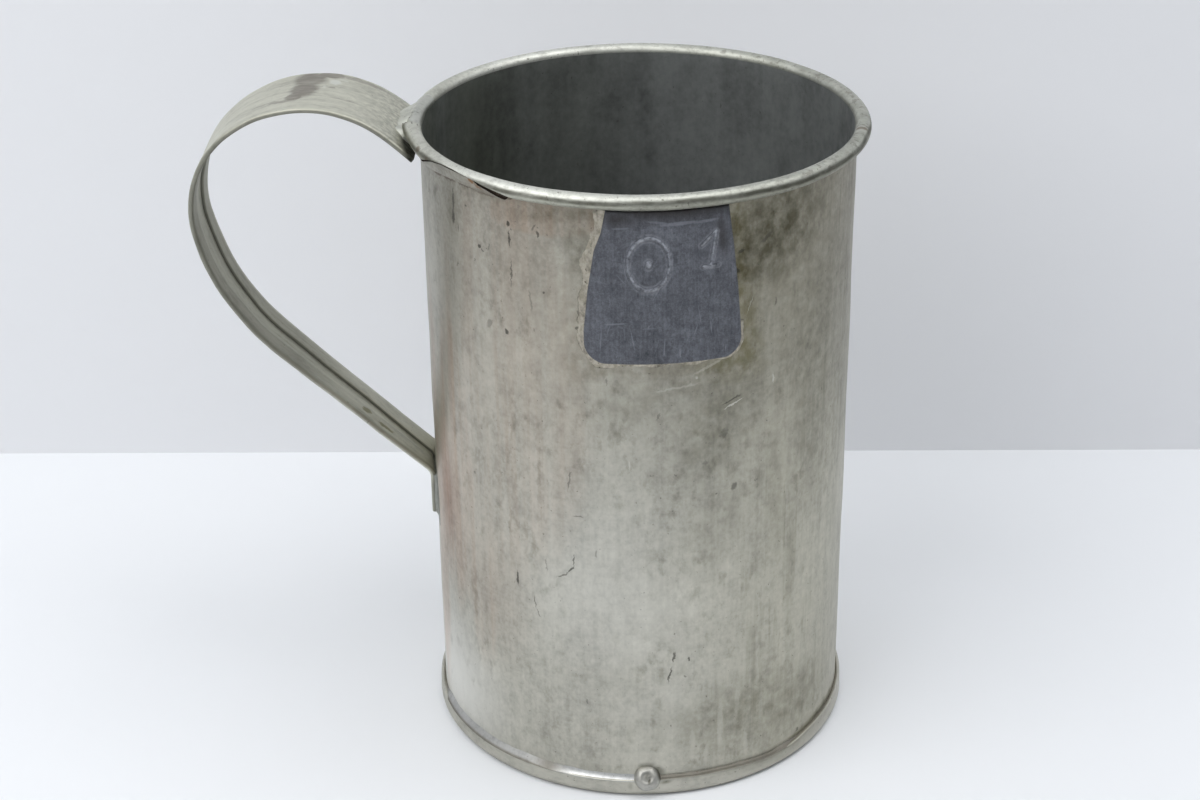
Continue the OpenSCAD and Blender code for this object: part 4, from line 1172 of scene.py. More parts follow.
def build_wire(body, steel):
    """Ring of drawn wire in the curl, pressed deeper where the lip stands open."""
    around = np.radians(np.linspace(0, 360, 25)[:-1])
    rings = []
    for azimuth in np.linspace(0, 360, 361)[:-1]:
        deep = float(ease(azimuth, *PRESSED_IN) * (1 - ease(azimuth, *PRESSED_OUT)))
        girth = body.wire_d / 2 * (1 - 0.45 * deep)
        rings.append(from_polar(azimuth, body.ring_r - 0.35 * MM * deep + girth * np.cos(around),
                                body.bead_z + 0.25 * MM * deep + girth * np.sin(around)))
    wire = lofted("rim_wire_drawn", rings, [steel], closed=True)
    hand_over(wire, "steel_wire", "rim_wire")


# Side seam.
def build_side_seam(context):
    """Thin fillet of solder along the free edge of the side seam's lap."""
    body, colours = context.scene.jug_body, context.scene.jug_colours
    outer = body.outer_r
    edge = math.degrees(body.lap_edge)
    rings = []
    for z in np.linspace(LAP_LOW.z, LAP_HIGH.z, 120):
        spread = 1.0 + 0.45 * noise.noise((z / (5 * MM), 0.3, 7.1))
        rise = body.lap_rise * (0.75 + 0.2 * noise.noise((z / (8 * MM), 4.2, 1.3)))
        ends = float(ease(z, LAP_LOW.z, LAP_LOW.z + 3 * MM) * (1 - ease(z, LAP_HIGH.z - 3 * MM, LAP_HIGH.z)))
        across = np.linspace(0, 1, 7)
        azimuth = edge + 0.4 - across * (0.4 + 1.5 * spread * ends + 0.1)
        radius = outer - 0.06 * MM + rise * ends * (1 - across) ** 2
        back = np.full(len(across), outer - 0.25 * MM)
        rings.append(from_polar(np.r_[azimuth, azimuth[::-1]], np.r_[radius, back], z))
    seam = lofted("side_seam_fillet", rings, [wiped_solder(colours.solder, "Solder, drawn along the seam")])
    unroll(seam)
    hand_over(seam, "solder", "side_seam_solder")


# Base.
def base_profile(body):
    """Closed profile of the bottom disc, its upturned flange and the hem folded down outside it."""
    hub_r = body.flange_r - body.sheet
    inner = hub_r - body.sheet
    top = body.flange_h - body.sheet
    floor = [(inner * share, 0.25 * MM * float(1 - ease(share, 0.72, 0.94)))
             for share in np.linspace(0, 1, 26)]
    corner = arc((inner, body.sheet), body.sheet, -90, 0, 6)[1:]
    hem_low = [(hub_r, body.hem_edge), (body.flange_r - 0.12 * MM, body.hem_edge),
               (body.flange_r, body.hem_edge + 0.12 * MM)]
    hem = [(body.flange_r, z) for z in np.linspace(body.hem_edge + 0.5 * MM, top, 8)]
    crest = arc((hub_r, top), body.sheet, 0, 180, 12)[1:]
    flange = [(inner, z) for z in np.linspace(top, body.sheet, 4)[1:]]
    disc = [(r, z + body.sheet) for r, z in floor[::-1][1:]]
    points = floor + corner + hem_low + hem + crest + flange + disc
    return [(r, 0.0, z) for r, z in points]


def build_base(context):
    """Hemmed base pan, the solder in its groove and the finish of the fillet inside."""
    body, colours = context.scene.jug_body, context.scene.jug_colours
    pan = grown("base_pan_hemmed", base_profile(body), turned_tree(), **{
        "From": 0.0, "Sweep": 2 * math.pi, "Columns": 361, "Dent": 0.0, "Dent size": 20 * MM, "Dent low": 0.0,
        "Dent high": 9 * MM, "Dent fade": MM, "Seed": 2, "Material": tin_base(colours),
    })
    tidy_mesh(pan.data, recalculate=True, sharp=50)
    rows = places(pan.data)
    azimuth, radius, height = polar(rows)
    # The hem's height wanders, and its face is slightly beaten.
    dip = hem_dip(azimuth)
    outside = radius > body.outer_r
    height = height + outside * dip * ease(height, 1.2 * MM, body.flange_h)
    radius = radius - outside * ease(height, 0.6 * MM, 2 * MM) * 0.09 * MM * (1 + wobble(rows, 7 * MM, 5))
    put_places(pan.data, from_polar(azimuth, radius, height))
    unroll(pan)
    hand_over(pan, "tinplate_base", "base_pan")
    seam = base_seam(body, wiped_solder(colours.seam, "Solder, run into the base seam", 1.05))
    unroll(seam)
    hand_over(seam, "solder", "base_seam_solder")
    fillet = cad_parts["base_inner_solder"]
    fillet.data.materials.clear()
    fillet.data.materials.append(wiped_solder(colours.solder, "Solder, dull inside"))


# Shift of the hem's top edge from its full height: azimuth, and mm.
HEM_DIPS = [
    (0, -0.2), (60, -0.3), (120, -0.5), (180, -0.5), (195, -0.75), (234, -0.75), (244, -0.7), (270, -0.7),
    (278, -0.4), (285, -0.5), (292, -0.5), (300, -0.8), (308, -1.3), (316, -1.15), (324, -0.45), (332, -0.1),
    (340, 0), (360, -0.2),
]


def hem_dip(azimuth):
    """Shift of the hem's top edge from its full height at an azimuth."""
    return np.interp(azimuth, *zip(*HEM_DIPS)) * MM


def base_seam(body, solder):
    """Ring of solder between flange and wall: wiped over the hem in front, sunk in the groove behind."""
    outer = body.outer_r
    across = np.linspace(0, 1, 10)
    rings, dirt_and_shade = [], []
    for azimuth in np.linspace(0, 360, 361)[:-1]:
        wiped = float(ease(azimuth, 190, 200) * (1 - ease(azimuth, 312, 322)))
        left = float(1 - ease(azimuth, 236, 246))
        crest = float(ease(azimuth, 243, 253) * (1 - ease(azimuth, 268, 273)))
        right = float(ease(azimuth, 270, 276) * (1 - ease(azimuth, 308, 320)))
        ripple = noise.noise((azimuth / 4.0, 2.7, 0.4))
        top = body.flange_h + float(hem_dip(azimuth))
        start_r = wiped * (body.flange_r - 0.1 * MM) + (1 - wiped) * (outer + 0.45 * MM)
        start_z = top - wiped * 0.17 * MM - (1 - wiped) * body.groove * (0.75 + 0.3 * ripple)
        climb = (wiped * (1.4 + 0.2 * left + 0.3 * ripple) + 0.2 * (1 - wiped)) * MM
        radius = start_r + (outer - 0.06 * MM - start_r) * across
        height = start_z + climb * across ** (1.1 + 0.9 * crest)
        # On the right the solder hides the hem's edge: it lies over the fold and then sinks towards the wall.
        fold = from_polar(azimuth, body.flange_r, top)
        fold_r = body.flange_r - body.sheet - 0.09 * MM * (1 + float(wobble(fold, 7 * MM, 5)[0]))
        over = np.array(arc((fold_r, top - body.sheet), body.sheet + 0.04 * MM, 48, 105, 5))
        sunk = np.array([outer - 0.06 * MM, top + 0.35 * MM * (1 + ripple)])
        down = over[-1] + (sunk - over[-1]) * np.linspace(0, 1, 5)[1:, None]
        lapped = np.vstack([over, down])
        radius = radius + right * (lapped[:, 0] - radius)
        height = height + right * (lapped[:, 1] - height)
        foot_r = np.array([outer - 0.2 * MM, outer + 0.4 * MM])
        foot_z = np.full(2, body.sheet + 0.3 * MM)
        rings.append(from_polar(azimuth, np.r_[radius, foot_r], np.r_[height, foot_z]))
        # The seam is darkened everywhere but on the crest beside the drop, most in the groove along the hem
        # and least on the left: soiling, and painted shade in the groove and on the upward slope.
        line = (1 - crest) * (1 - ease(across, 0.05, 0.25 + 0.35 * left))
        rest = (1 - crest) * (1 - 0.62 * left * wiped)
        dirt_and_shade.append(np.r_[np.maximum(line, rest), 1.0, 1.0])
    seam = lofted("base_seam_run", rings, [solder], closed=True)
    mark(seam.data, "soiled_and_shaded", np.concatenate(dirt_and_shade))
    return seam


# Handle.
TAB_STEPS = 8


def strap_path(body, handle):
    """Outer face of the strap as stations of radius, height and heading, from the rim to the tab's end."""
    bead_r = body.wire_d / 2 + body.wire_play + body.sheet
    rise = handle.rise
    tab_r = body.outer_r + handle.film + 2 * handle.sheet
    at = np.array([body.ring_r, body.bead_z])
    at = at - (bead_r + handle.rim_gap) * np.array([-math.sin(rise), math.cos(rise)])
    at = at - handle.tuck * np.array([math.cos(rise), math.sin(rise)])
    stations = [(at[0], at[1], rise)]

    def run(distance, steps):
        """Straight run along the heading."""
        r, z, heading = stations[-1]
        for i in range(1, steps + 1):
            part = distance * i / steps
            stations.append((r + part * math.cos(heading), z + part * math.sin(heading), heading))

    def bend(heading_to, radius):
        """Bend to a new heading, in steps of at most 2.5 degrees."""
        r, z, heading = stations[-1]
        turn = heading_to - heading
        side = math.copysign(1, turn)
        steps = math.ceil(abs(turn) / math.radians(2.5))
        hub = (r - side * radius * math.sin(heading), z + side * radius * math.cos(heading))
        for i in range(1, steps + 1):
            now = heading + turn * i / steps
            stations.append((hub[0] + side * radius * math.sin(now), hub[1] - side * radius * math.cos(now),
                             now))

    run(handle.lead_in, 2)
    bend(-handle.crown_fall, handle.crown_r)
    bend(-handle.back_fall, handle.back_r)
    bend(-math.pi / 2 - handle.lower_lean, handle.lower_r)
    end_r = tab_r + handle.foot_r * (1 - math.cos(handle.lower_lean))
    run((stations[-1][0] - end_r) / math.sin(handle.lower_lean), 24)
    bend(-math.pi / 2, handle.foot_r)
    run(handle.tab, TAB_STEPS)
    return stations, tab_r


def strap_section(handle):
    """Section of the strap: share of the half width, shift across, depth, and how much grimy film and painted
    shade it carries.
    """
    t = handle.sheet
    points = [(share, -share * t, 0.0, 0.0) for share in np.linspace(1, -1, 13)]

    def fold(side):
        """Round edge on one side of the strap."""
        turns = np.radians(np.linspace(80, -90, 9)) if side < 0 else np.radians(np.linspace(-90, 80, 9))
        # The near edge is the darker one: a painted dark reflection.
        dirt_and_shade = 0.75 if side < 0 else 0.2
        return [(side, -side * t + side * t * math.cos(a), t * math.sin(a) - t,
                 dirt_and_shade * float(ease(-a, -1.7, -0.1))) for a in turns]

    def hem(side):
        """Hem folded in below one side, with the slit along its edge."""
        slit = 0.06 * MM
        film = 0.6 if side < 0 else 0.5
        rim = [(side, -side * (handle.hem * share), -2 * t, film) for share in (0.3, 0.6, 0.88)]
        # The slit along each hem is laid darkest: painted shade in the crease.
        rim += [(side, -side * (handle.hem - 0.1 * MM), -2 * t, 0.45),
                (side, -side * handle.hem, -2 * t + 0.1 * MM, 0.8),
                (side, -side * (handle.hem + slit), -t + slit, 1.0),
                (side, -side * (handle.hem + 0.5 * MM), -t, 0.42)]
        return rim

    channel = [(share, -share * (handle.hem + 0.5 * MM), -t, 0.38) for share in (-0.5, 0.0, 0.5)]
    points += fold(-1) + hem(-1) + channel + hem(1)[::-1] + fold(1)
    return points + points[:1]


def build_handle(context):
    """Hemmed strap handle, swept along its bends."""
    body, handle = context.scene.jug_body, context.scene.jug_handle
    stations, tab_r = strap_path(body, handle)
    section = strap_section(handle)
    flat = np.array([(r, z) for r, z, _ in stations])
    along = np.r_[0, np.cumsum(np.hypot(*np.diff(flat, axis=0).T))]
    points = [(r, 0.0, z) for r, z, _ in stations]
    points += [(share, shift, depth) for share, shift, depth, _ in section]
    blank = [0.0] * len(section)
    attributes = {
        "heading": [h for _, _, h in stations] + blank,
        "along": list(along) + blank,
        "grime": [0.0] * len(stations) + [grime for _, _, _, grime in section],
    }
    total = float(along[-1])
    obj = grown("handle_strap_hemmed", points, strap_tree(), attributes, **{
        "Stations": len(stations), "Length": total, "Rim width": handle.rim_w, "Foot width": handle.foot_w,
        "Flare": handle.flare, "Tab radius": tab_r, "Fit from": total - handle.tab - handle.fit,
        "Fit to": total - handle.tab, "Dent": handle.dent, "Dent size": 14 * MM, "Seed": handle.seed,
        "Material": tin_strap(context.scene.jug_colours),
    })
    tidy_mesh(obj.data, cap=True, sharp=50)
    hand_over(obj, "tinplate_handle", "handle_strap")


# Solder at the handle's two ends.
def build_handle_solder(context):
    """Saddle of solder between strap and rim, and the wiped skirt around the foot tab."""
    body, handle, colours = context.scene.jug_body, context.scene.jug_handle, context.scene.jug_colours
    solder = wiped_solder(colours.solder, "Solder, wiped at the handle", 0.88, (0.68, 0.55))
    top = top_saddle(body, handle, solder)
    unroll(top)
    hand_over(top, "solder", "handle_top_solder")
    # The foot's solder is laid dark: grimy, and painted shade in the corner under the tab.
    foot = foot_skirt(body, handle, wiped_solder(colours.solder, "Solder, grimy at the foot", 0.5))
    unroll(foot)
    hand_over(foot, "solder", "handle_foot_solder")


def bowed(start, middle, end, shares):
    """Points of a curve from start to end that leans towards a middle point."""
    return (1 - shares) ** 2 * start + 2 * shares * (1 - shares) * middle + shares ** 2 * end


# Where the saddle of solder starts and ends across the strap, and its reach over the bead.
SADDLE_SPAN = (-7.6 * MM, 11.8 * MM)
SADDLE_CREST_R = 1.7 * MM


def top_saddle(body, handle, solder):
    """Solder that runs from the strap's face over the bead, and fills the corner below the strap."""
    stations, _ = strap_path(body, handle)
    end = np.array(stations[0][:2])
    head = np.array([math.cos(handle.rise), math.sin(handle.rise)])
    normal = np.array([-head[1], head[0]])
    nearest = end + handle.tuck * head
    under = end - 2 * handle.sheet * normal
    outer = body.outer_r
    low_y, high_y = SADDLE_SPAN
    shares = np.linspace(0, 1, 11)[:, None]
    rings = []
    for y in np.linspace(low_y, high_y, 64):
        wide = float(ease(y, low_y, low_y + 2.6 * MM) * (1 - ease(y, high_y - 4 * MM, high_y)))
        over = float(ease(y, -2.8 * MM, -0.6 * MM) * (1 - ease(y, high_y - 5 * MM, high_y)))
        ripple = noise.noise((y / (3 * MM), 1.9, 0.2))
        hub = np.array([math.sqrt(body.ring_r ** 2 - y * y) - 0.1 * MM, body.bead_z - 0.05 * MM])
        wall_r = math.sqrt(outer ** 2 - y * y)
        foot = nearest + (0.5 + (2.3 + 0.8 * ripple) * wide) * MM * head - 0.3 * MM * normal
        lean = math.radians(12 + 58 * over)
        crest = hub + SADDLE_CREST_R * np.array([math.cos(lean), math.sin(lean)])
        bow = (foot + crest) / 2 + np.array([0.5 * MM * over, -0.35 * MM * wide])
        upper = bowed(foot, bow, crest, shares)
        wall_z = under[1] - (0.5 + 1.2 * wide) * MM
        inner = np.array([hub, [wall_r - 0.2 * MM, body.bead_z - 1.0 * MM],
                          [wall_r - 0.2 * MM, wall_z + 0.1 * MM]])
        below = under + (0.5 + 1.5 * wide) * MM * head - 0.05 * MM * normal
        wall_point = np.array([wall_r - 0.03 * MM, wall_z])
        corner = (under + np.array([wall_r, under[1]])) / 2 - 0.2 * MM * wide
        lower = bowed(wall_point, corner, below, shares)
        middle = np.array([end - 0.6 * handle.sheet * normal + 0.4 * MM * head])
        ring = np.vstack([upper, inner, lower, middle])
        rings.append(np.column_stack([-ring[:, 0], np.full(len(ring), y), ring[:, 1]]))
    return lofted("handle_top_saddle", rings, [solder])


def foot_skirt(body, handle, solder):
    """Low pad of solder under the foot tab, drawn out to a wiped edge all round."""
    stations, _ = strap_path(body, handle)
    outer = body.outer_r
    low, high = stations[-1][1], stations[-1 - TAB_STEPS][1]
    half = handle.foot_w / 2
    rings = []
    reach, above = 2.4 * MM, 1.6 * MM
    for z in np.linspace(low - reach, high + above, 44):
        across = np.linspace(-half - reach, half + reach, 61)
        spread = np.array([1.3 + 0.7 * noise.noise((y / (3.2 * MM), z / (3.2 * MM), 5.0))
                           for y in across]) * MM
        out_y = np.maximum(np.abs(across) - half + 0.25 * MM, 0)
        out_z = max(low + 0.25 * MM - z, z - high - 0.6 * MM, 0.0)
        gap = np.hypot(out_y, out_z)
        rise = 0.85 * MM * np.clip(1 - gap / spread, 0, 1) ** 1.7
        rise = np.where(gap > 0, rise, handle.film)
        turn = 180 + np.degrees(across / outer)
        top = from_polar(turn, outer - 0.04 * MM + rise, z)
        back = from_polar(turn[::-1], outer - 0.3 * MM, z)
        rings.append(np.vstack([top, back]))
    return lofted("handle_foot_skirt", rings, [solder])


# Lead seals.
def plate_half_width(seals, height):
    """Half the plate's width at a height above its foot, with its lower corners rounded."""
    tall = seals.plate_high - seals.plate_low
    flare = math.atan((seals.plate_foot_w - seals.plate_top_w) / 2 / tall)
    r = seals.plate_corner
    side = seals.plate_foot_w / 2 - height * math.tan(flare)
    tangent = r * (1 + math.sin(flare))
    if height >= tangent:
        return side
    middle = seals.plate_foot_w / 2 - r * (1 + math.sin(flare)) / math.cos(flare)
    return middle + math.sqrt(max(0.0, r * r - (r - height) ** 2))


def plate_bulge(side, height):
    """How far the plate's hand-cut side lies outside its straight line at a height above its foot."""
    left, right = (0.0, 0.8, 0.9, 0.5, -0.5, -0.9), (0.0, 0.3, 0.5, 0.45, 0.3, 0.2)
    return np.interp(height / MM, (0, 7, 16, 25, 29, 34), left if side < 0 else right) * MM


def punch_depth(x, z):
    """Depth of the plain marks punched in the plate: a ring with a dot, and the numeral one."""
    ring_at, ring_r, ring_tall = (-3.4, 22.4), 4.2, 1.36
    away = np.hypot(x - ring_at[0], (z - ring_at[1]) / ring_tall)
    line = np.minimum(np.abs(away - ring_r), np.maximum(away - 0.35, 0))
    strokes = [((9.2, 21.2), (10.3, 28.7)), ((10.3, 28.7), (7.3, 25.9)), ((7.6, 21.2), (10.8, 21.3))]
    for (x0, z0), (x1, z1) in strokes:
        dx, dz = x1 - x0, z1 - z0
        share = np.clip(((x - x0) * dx + (z - z0) * dz) / (dx * dx + dz * dz), 0, 1)
        line = np.minimum(line, np.hypot(x - x0 - share * dx, z - z0 - share * dz))
    groove = 0.30 * np.exp(-((line / 0.28) ** 2))
    burr = 0.09 * np.exp(-(((line - 0.55) / 0.2) ** 2))
    return (groove - burr) * MM


def build_plate(context):
    """Lead plate with soft edges and plain punched marks, and the solder margin around it."""
    body, seals, colours = context.scene.jug_body, context.scene.jug_seals, context.scene.jug_colours
    outer = body.outer_r
    tall = seals.plate_high - seals.plate_low
    middle = math.degrees(seals.plate_at)
    corner = seals.plate_corner
    low_rows = corner * (1 - np.cos(np.linspace(0, math.pi / 2, 26)))
    heights = np.r_[low_rows, np.linspace(corner, tall, 150)[1:]]
    # The columns lie closer together towards the plate's sides.
    bunch = 1.35
    spread = np.sin(np.linspace(-1, 1, 141) * bunch) / math.sin(bunch)
    rings = []
    for height in heights:
        half = plate_half_width(seals, height)
        left, right = (half + plate_bulge(side, height) for side in (-1, 1))
        x = (left + right) / 2 * spread + (right - left) / 2
        inset = np.minimum(np.minimum(np.minimum(x + left, right - x), height), tall - height)
        soft = 0.55 * MM
        edge = np.sqrt(np.clip(1 - (1 - np.clip(inset / soft, 0, 1)) ** 2, 0, 1))
        swell = np.array([noise.noise((a / (6 * MM), height / (7 * MM), 3.3)) for a in x])
        rise = seals.plate_t * (0.35 + 0.65 * edge) + 0.07 * MM * swell * edge - 0.07 * MM
        rise = rise - punch_depth(x / MM, height / MM) * edge
        turn = middle + np.degrees(np.arcsin(np.clip(x / outer, -1, 1)))
        top = from_polar(turn, outer + rise, seals.plate_low + height)
        back = from_polar(turn[::-1], outer - 0.25 * MM, seals.plate_low + height)
        rings.append(np.vstack([top, back]))
    plate = lofted("seal_plate_lead", rings, [oxidised_lead(colours)])
    azimuth, radius, height = polar(places(plate.data))
    across = outer * np.sin(np.radians(azimuth - middle)) / MM
    cut = punch_depth(across, (height - seals.plate_low) / MM) * (radius > outer) / (0.3 * MM)
    mark(plate.data, "punched", np.clip(np.abs(cut), 0, 1))
    joined(plate, plate_margin(body, seals, margin_solder()))
    unroll(plate)
    hand_over(plate, "lead", "seal_plate")


def plate_margin(body, seals, solder):
    """Low ridge of wiped solder down both sides of the plate and along its foot."""
    outer = body.outer_r
    tall = seals.plate_high - seals.plate_low
    corner = seals.plate_corner
    middle = math.degrees(seals.plate_at)
    side = [(plate_half_width(seals, h), h) for h in np.linspace(tall - 0.2 * MM, corner, 60)]
    flare = math.atan((seals.plate_foot_w - seals.plate_top_w) / 2 / tall)
    hub = seals.plate_foot_w / 2 - corner * (1 + math.sin(flare)) / math.cos(flare)
    bend = arc((hub, corner), corner, 0, -90, 14)[1:]
    right = side + bend
    foot = [(x, 0.0) for x in np.linspace(hub, -hub, 50)[1:-1]]
    outline = np.array([(x + plate_bulge(1, h), h) for x, h in right] + foot
                       + [(-x - plate_bulge(-1, h), h) for x, h in right[::-1]])
    ahead = np.gradient(outline, axis=0)
    ahead /= np.linalg.norm(ahead, axis=1)[:, None]
    out = np.column_stack([-ahead[:, 1], ahead[:, 0]])
    shares = np.linspace(0, 1, 9)
    rings = []
    for point, away in zip(outline, out):
        away = away if np.dot(away, point - np.array([0, tall / 2])) > 0 else -away
        rag = noise.noise((point[0] / (4 * MM), point[1] / (4 * MM), 9.0))
        fine = noise.noise((point[0] / (1.2 * MM), point[1] / (1.2 * MM), 2.0))
        # The margin is widest on the left and at the foot, and nearly gone on the upper right.
        lean = 0.25 if point[0] > 0 and point[1] > 8 * MM else 1.0
        lean += (0.5 + 0.9 * float(ease(point[1], 8 * MM, 30 * MM))) * (point[0] < -10 * MM)
        width = seals.margin * lean * (0.9 + 0.5 * rag + 0.25 * fine)
        rise = 0.22 * MM * (1 + 0.3 * rag)
        rows = point[None, :] + away[None, :] * ((shares * width)[:, None] - 0.35 * MM)
        top = rise * np.sin(np.clip(1.15 - shares, 0, 1) ** 1.2 * math.pi / 2) * (shares < 1)
        turn = middle + np.degrees(np.arcsin(np.clip(rows[:, 0] / outer, -1, 1)))
        z = seals.plate_low + rows[:, 1]
        over = from_polar(turn, outer - 0.05 * MM + top, z)
        back = from_polar(turn[::-1], outer - 0.3 * MM, z[::-1])
        rings.append(np.vstack([over, back]))
    margin = lofted("plate_margin", rings, [solder])
    _, radius, _ = polar(places(margin.data))
    edge = np.abs(radius - (outer - 0.05 * MM)) < 0.01 * MM
    mark(margin.data, "edge", edge.astype(float))
    return margin


# How the drop lies: tilt in degrees, share of its full width, and radius and height of its back.
DROP_TILT = 34
DROP_SPREAD = 1.1
DROP_BACK = (47.85 * MM, 4.4 * MM)


def build_drop(context):
    """Lead drop on the base, leaning on the wall and dented in its middle."""
    body, seals, colours = context.scene.jug_body, context.scene.jug_seals, context.scene.jug_colours
    at = math.degrees(seals.drop_at)
    half = seals.drop_d / 2 * DROP_SPREAD
    turns = np.radians(np.arange(0, 360, 5))
    # A dome that leans back against the wall, with a soft dimple in its face and a root behind it.
    tilt = math.radians(DROP_TILT)
    deep = body.flange_r + seals.drop_proud - DROP_BACK[0]
    faces = np.r_[0.03, np.sin(np.linspace(0.06, 1, 26) * math.pi / 2)]
    dome = deep * np.sqrt(np.clip(1 - faces ** 2.4, 0, 1))
    dome = dome - seals.dimple * (1 - ease(faces, 0.25, seals.dimple_d / seals.drop_d))
    shape = list(zip(faces, dome)) + [(1.02, -0.5 * MM), (1.02, -1.0 * MM)]
    rings = []
    for share, rise in shape:
        rag = np.array([noise.noise((math.cos(a) * 1.3, math.sin(a) * 1.3, 4.0 + 0.4 * share))
                        for a in turns])
        reach = share * (1 + 0.08 * rag * ease(share, 0.2, 0.7))
        across, up = half * reach * np.cos(turns), half * reach * np.sin(turns)
        radius = DROP_BACK[0] + (rise - 0.05 * MM * (1 + rag)) * math.cos(tilt) - up * math.sin(tilt)
        height = DROP_BACK[1] + rise * math.sin(tilt) + up * math.cos(tilt)
        rings.append(from_polar(at + np.degrees(across / body.flange_r), radius,
                                np.maximum(height, 0.35 * MM)))
    drop = lofted("seal_drop_dented", rings, [drop_lead(colours)])
    unroll(drop)
    hand_over(drop, "lead", "seal_drop")


# Stage.
# Sky from below to above, by share of height, and the lamps: name, place, target, size in metres, watts.
SKY = ((0.0, "#5c5e60"), (0.2, "#6a6c6e"), (0.55, "#c4c7ca"), (1.0, "#dfe2e5"))
SKY_STRENGTH = 0.9
LAMPS = (
    ("Key lamp", (-0.50, -0.42, 0.75), (0, 0, 0.05), 0.8, 5.0),
    ("Fill lamp", (0.42, -0.08, 0.95), (0.06, 0, 0.05), 0.7, 4.0),
)
BOARD_WIDE = 3.0
BACKDROP_TALL = 1.6
FLOOR_DROP = 0.2 * MM


def plain_stage_material(name, shade, see_through=False):
    """Matt painted board. Its back can be clear, so that it doesn't hide the jug from behind."""
    material = bpy.data.materials.new(name)
    material.use_nodes = True
    tree = material.node_tree
    tree.nodes.clear()
    place = add(tree, "ShaderNodeTexCoord", out="Object")
    grain = add(tree, NOISE, {"Vector": place, "Scale": 1 / (40 * MM), "Detail": 2.0})
    rough = add(tree, RANGE, {"Value": grain, "To Min": 0.6, "To Max": 0.75})
    shader = add(tree, "ShaderNodeBsdfPrincipled", {"Base Color": shade, "Roughness": rough})
    if see_through:
        behind = add(tree, "ShaderNodeNewGeometry", out="Backfacing")
        clear = add(tree, "ShaderNodeBsdfTransparent")
        shader = add(tree, "ShaderNodeMixShader", {0: behind, 1: shader, 2: clear})
    add(tree, "ShaderNodeOutputMaterial", {0: shader}, out=None)
    return material


def board(name, corners, material):
    """Flat stage board through four corners."""
    mesh = bpy.data.meshes.new(name)
    mesh.from_pydata(corners, [], [(0, 1, 2, 3)])
    mesh.materials.append(material)
    placed(name, mesh)


def lamp(name, place, target, size, power):
    """Square soft lamp that looks at a target."""
    data = bpy.data.lights.new(name, "AREA")
    data.shape = "SQUARE"
    data.size = size
    data.energy = power
    obj = bpy.data.objects.new(name, data)
    obj.location = place
    obj.rotation_euler = (Vector(target) - Vector(place)).to_track_quat("-Z", "Y").to_euler()
    bpy.context.scene.collection.objects.link(obj)


def build_stage(context):
    """Pale floor, backdrop, soft lamps, world and the camera at the photographed angle."""
    stage, colours = context.scene.jug_stage, context.scene.jug_colours
    wide, deep, tall = BOARD_WIDE, stage.backdrop_y, BACKDROP_TALL
    under = -FLOOR_DROP
    board("floor", [(-wide, -wide, under), (wide, -wide, under), (wide, wide, under), (-wide, wide, under)],
          plain_stage_material("Board, matt pale floor", tuple(colours.floor)))
    board("backdrop", [(-wide, deep, under), (wide, deep, under), (wide, deep, tall), (-wide, deep, tall)],
          plain_stage_material("Board, matt backdrop", tuple(colours.wall), see_through=True))
    for name, place, target, size, power in LAMPS:
        lamp(name, place, target, size, power)
    world = bpy.data.worlds.new("Studio")
    context.scene.world = world
    world.use_nodes = True
    tree = world.node_tree
    tree.nodes.clear()
    place = add(tree, "ShaderNodeTexCoord", out="Generated")
    up = add(tree, SPLIT, {0: place}, out="Z")
    sky = add(tree, "ShaderNodeValToRGB", {0: up})
    put_stops(sky.node.color_ramp, [(at, linear(code)) for at, code in SKY])
    glow = add(tree, "ShaderNodeBackground", {"Color": sky, "Strength": SKY_STRENGTH})
    add(tree, "ShaderNodeOutputWorld", {0: glow}, out=None)
    camera = bpy.data.objects.new("Camera", bpy.data.cameras.new("Camera"))
    camera.data.sensor_width = 36.0
    camera.data.lens = stage.lens
    camera.data.clip_start = 0.01
    ahead = Vector((math.sin(stage.yaw) * math.cos(stage.pitch), math.cos(stage.yaw) * math.cos(stage.pitch),
                    -math.sin(stage.pitch)))
    level = Vector((math.cos(stage.yaw), -math.sin(stage.yaw), 0.0))
    upright = level.cross(ahead)
    right = math.cos(stage.roll) * level + math.sin(stage.roll) * upright
    top = math.cos(stage.roll) * upright - math.sin(stage.roll) * level
    turn = Matrix((right, top, -ahead)).transposed().to_4x4()
    camera.matrix_world = Matrix.Translation(stage.camera) @ turn
    context.scene.collection.objects.link(camera)
    context.scene.camera = camera
    context.scene.view_settings.view_transform = "Standard"


class JUG_OT_stage(Operator):
    """Lays the floor and backdrop, hangs the lamps and sets up the camera"""
    bl_idname = "jug.stage"
    bl_label = "Stage"

    def execute(self, context):
        build_stage(context)
        return {"FINISHED"}


class JUG_OT_body_sheet(Operator):
    """Rolls the wall, curls its rim and laps its side seam"""
    bl_idname = "jug.body_sheet"
    bl_label = "Body sheet"

    def execute(self, context):
        build_body(context)
        return {"FINISHED"}


class JUG_OT_rim(Operator):
    """Solders the rim where the wire's ends meet and where the curl stands open"""
    bl_idname = "jug.rim"
    bl_label = "Rim solder and wire"

    def execute(self, context):
        build_rim(context)
        return {"FINISHED"}


class JUG_OT_side_seam(Operator):
    """Draws solder along the edge of the side seam"""
    bl_idname = "jug.side_seam"
    bl_label = "Side seam"

    def execute(self, context):
        build_side_seam(context)
        return {"FINISHED"}


class JUG_OT_base(Operator):
    """Makes the hemmed base pan and the solder in its seams"""
    bl_idname = "jug.base"
    bl_label = "Base"

    def execute(self, context):
        build_base(context)
        return {"FINISHED"}


class JUG_OT_handle(Operator):
    """Sweeps the hemmed strap handle"""
    bl_idname = "jug.handle"
    bl_label = "Handle strap"

    def execute(self, context):
        build_handle(context)
        return {"FINISHED"}


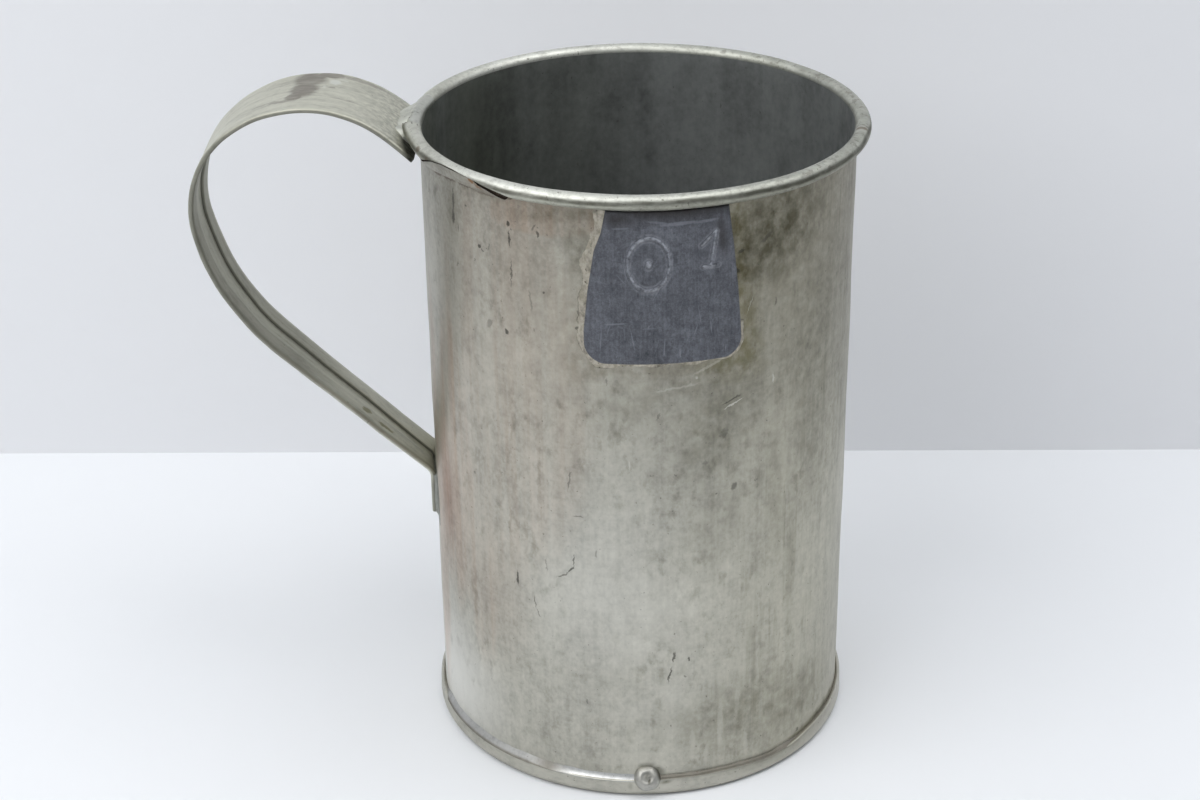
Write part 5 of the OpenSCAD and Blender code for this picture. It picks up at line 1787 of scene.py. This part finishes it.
class JUG_OT_handle_solder(Operator):
    """Solders the handle to the rim and to the wall"""
    bl_idname = "jug.handle_solder"
    bl_label = "Handle solder"

    def execute(self, context):
        build_handle_solder(context)
        return {"FINISHED"}


class JUG_OT_seal_plate(Operator):
    """Lays the lead plate under the rim with its solder margin"""
    bl_idname = "jug.seal_plate"
    bl_label = "Lead plate"

    def execute(self, context):
        build_plate(context)
        return {"FINISHED"}


class JUG_OT_seal_drop(Operator):
    """Sets the dented lead drop on the base hem"""
    bl_idname = "jug.seal_drop"
    bl_label = "Lead drop"

    def execute(self, context):
        build_drop(context)
        return {"FINISHED"}


GROUPS = {
    "jug_body": JugBody, "jug_handle": JugHandle, "jug_seals": JugSeals, "jug_colours": JugColours,
    "jug_stage": JugStage,
}
STEPS = (
    JUG_OT_stage, JUG_OT_body_sheet, JUG_OT_rim, JUG_OT_side_seam, JUG_OT_base, JUG_OT_handle,
    JUG_OT_handle_solder, JUG_OT_seal_plate, JUG_OT_seal_drop,
)


class JUG_PT_panel(Panel):
    """Sidebar panel with the jug's steps and sizes"""
    bl_idname = "JUG_PT_panel"
    bl_label = "Measuring jug"
    bl_space_type = "VIEW_3D"
    bl_region_type = "UI"
    bl_category = "Jug"

    def draw(self, context):
        for step in STEPS:
            self.layout.operator(step.bl_idname)
        for key in GROUPS:
            group = getattr(context.scene, key)
            column = self.layout.column(align=True)
            for name in group.__annotations__:
                column.prop(group, name)


def register():
    """Registers the property groups, operators and panel."""
    for key, group in GROUPS.items():
        bpy.utils.register_class(group)
        setattr(bpy.types.Scene, key, PointerProperty(type=group))
    for entry in (*STEPS, JUG_PT_panel):
        bpy.utils.register_class(entry)


def unregister():
    """Removes what register added."""
    for entry in (JUG_PT_panel, *reversed(STEPS)):
        bpy.utils.unregister_class(entry)
    for key, group in reversed(GROUPS.items()):
        delattr(bpy.types.Scene, key)
        bpy.utils.unregister_class(group)


def main():
    """Builds the stage and every piece."""
    register()
    bpy.ops.jug.stage()
    bpy.ops.jug.body_sheet()
    bpy.ops.jug.rim()
    bpy.ops.jug.side_seam()
    bpy.ops.jug.base()
    bpy.ops.jug.handle()
    bpy.ops.jug.handle_solder()
    bpy.ops.jug.seal_plate()
    bpy.ops.jug.seal_drop()


if __name__ == "__main__":
    main()
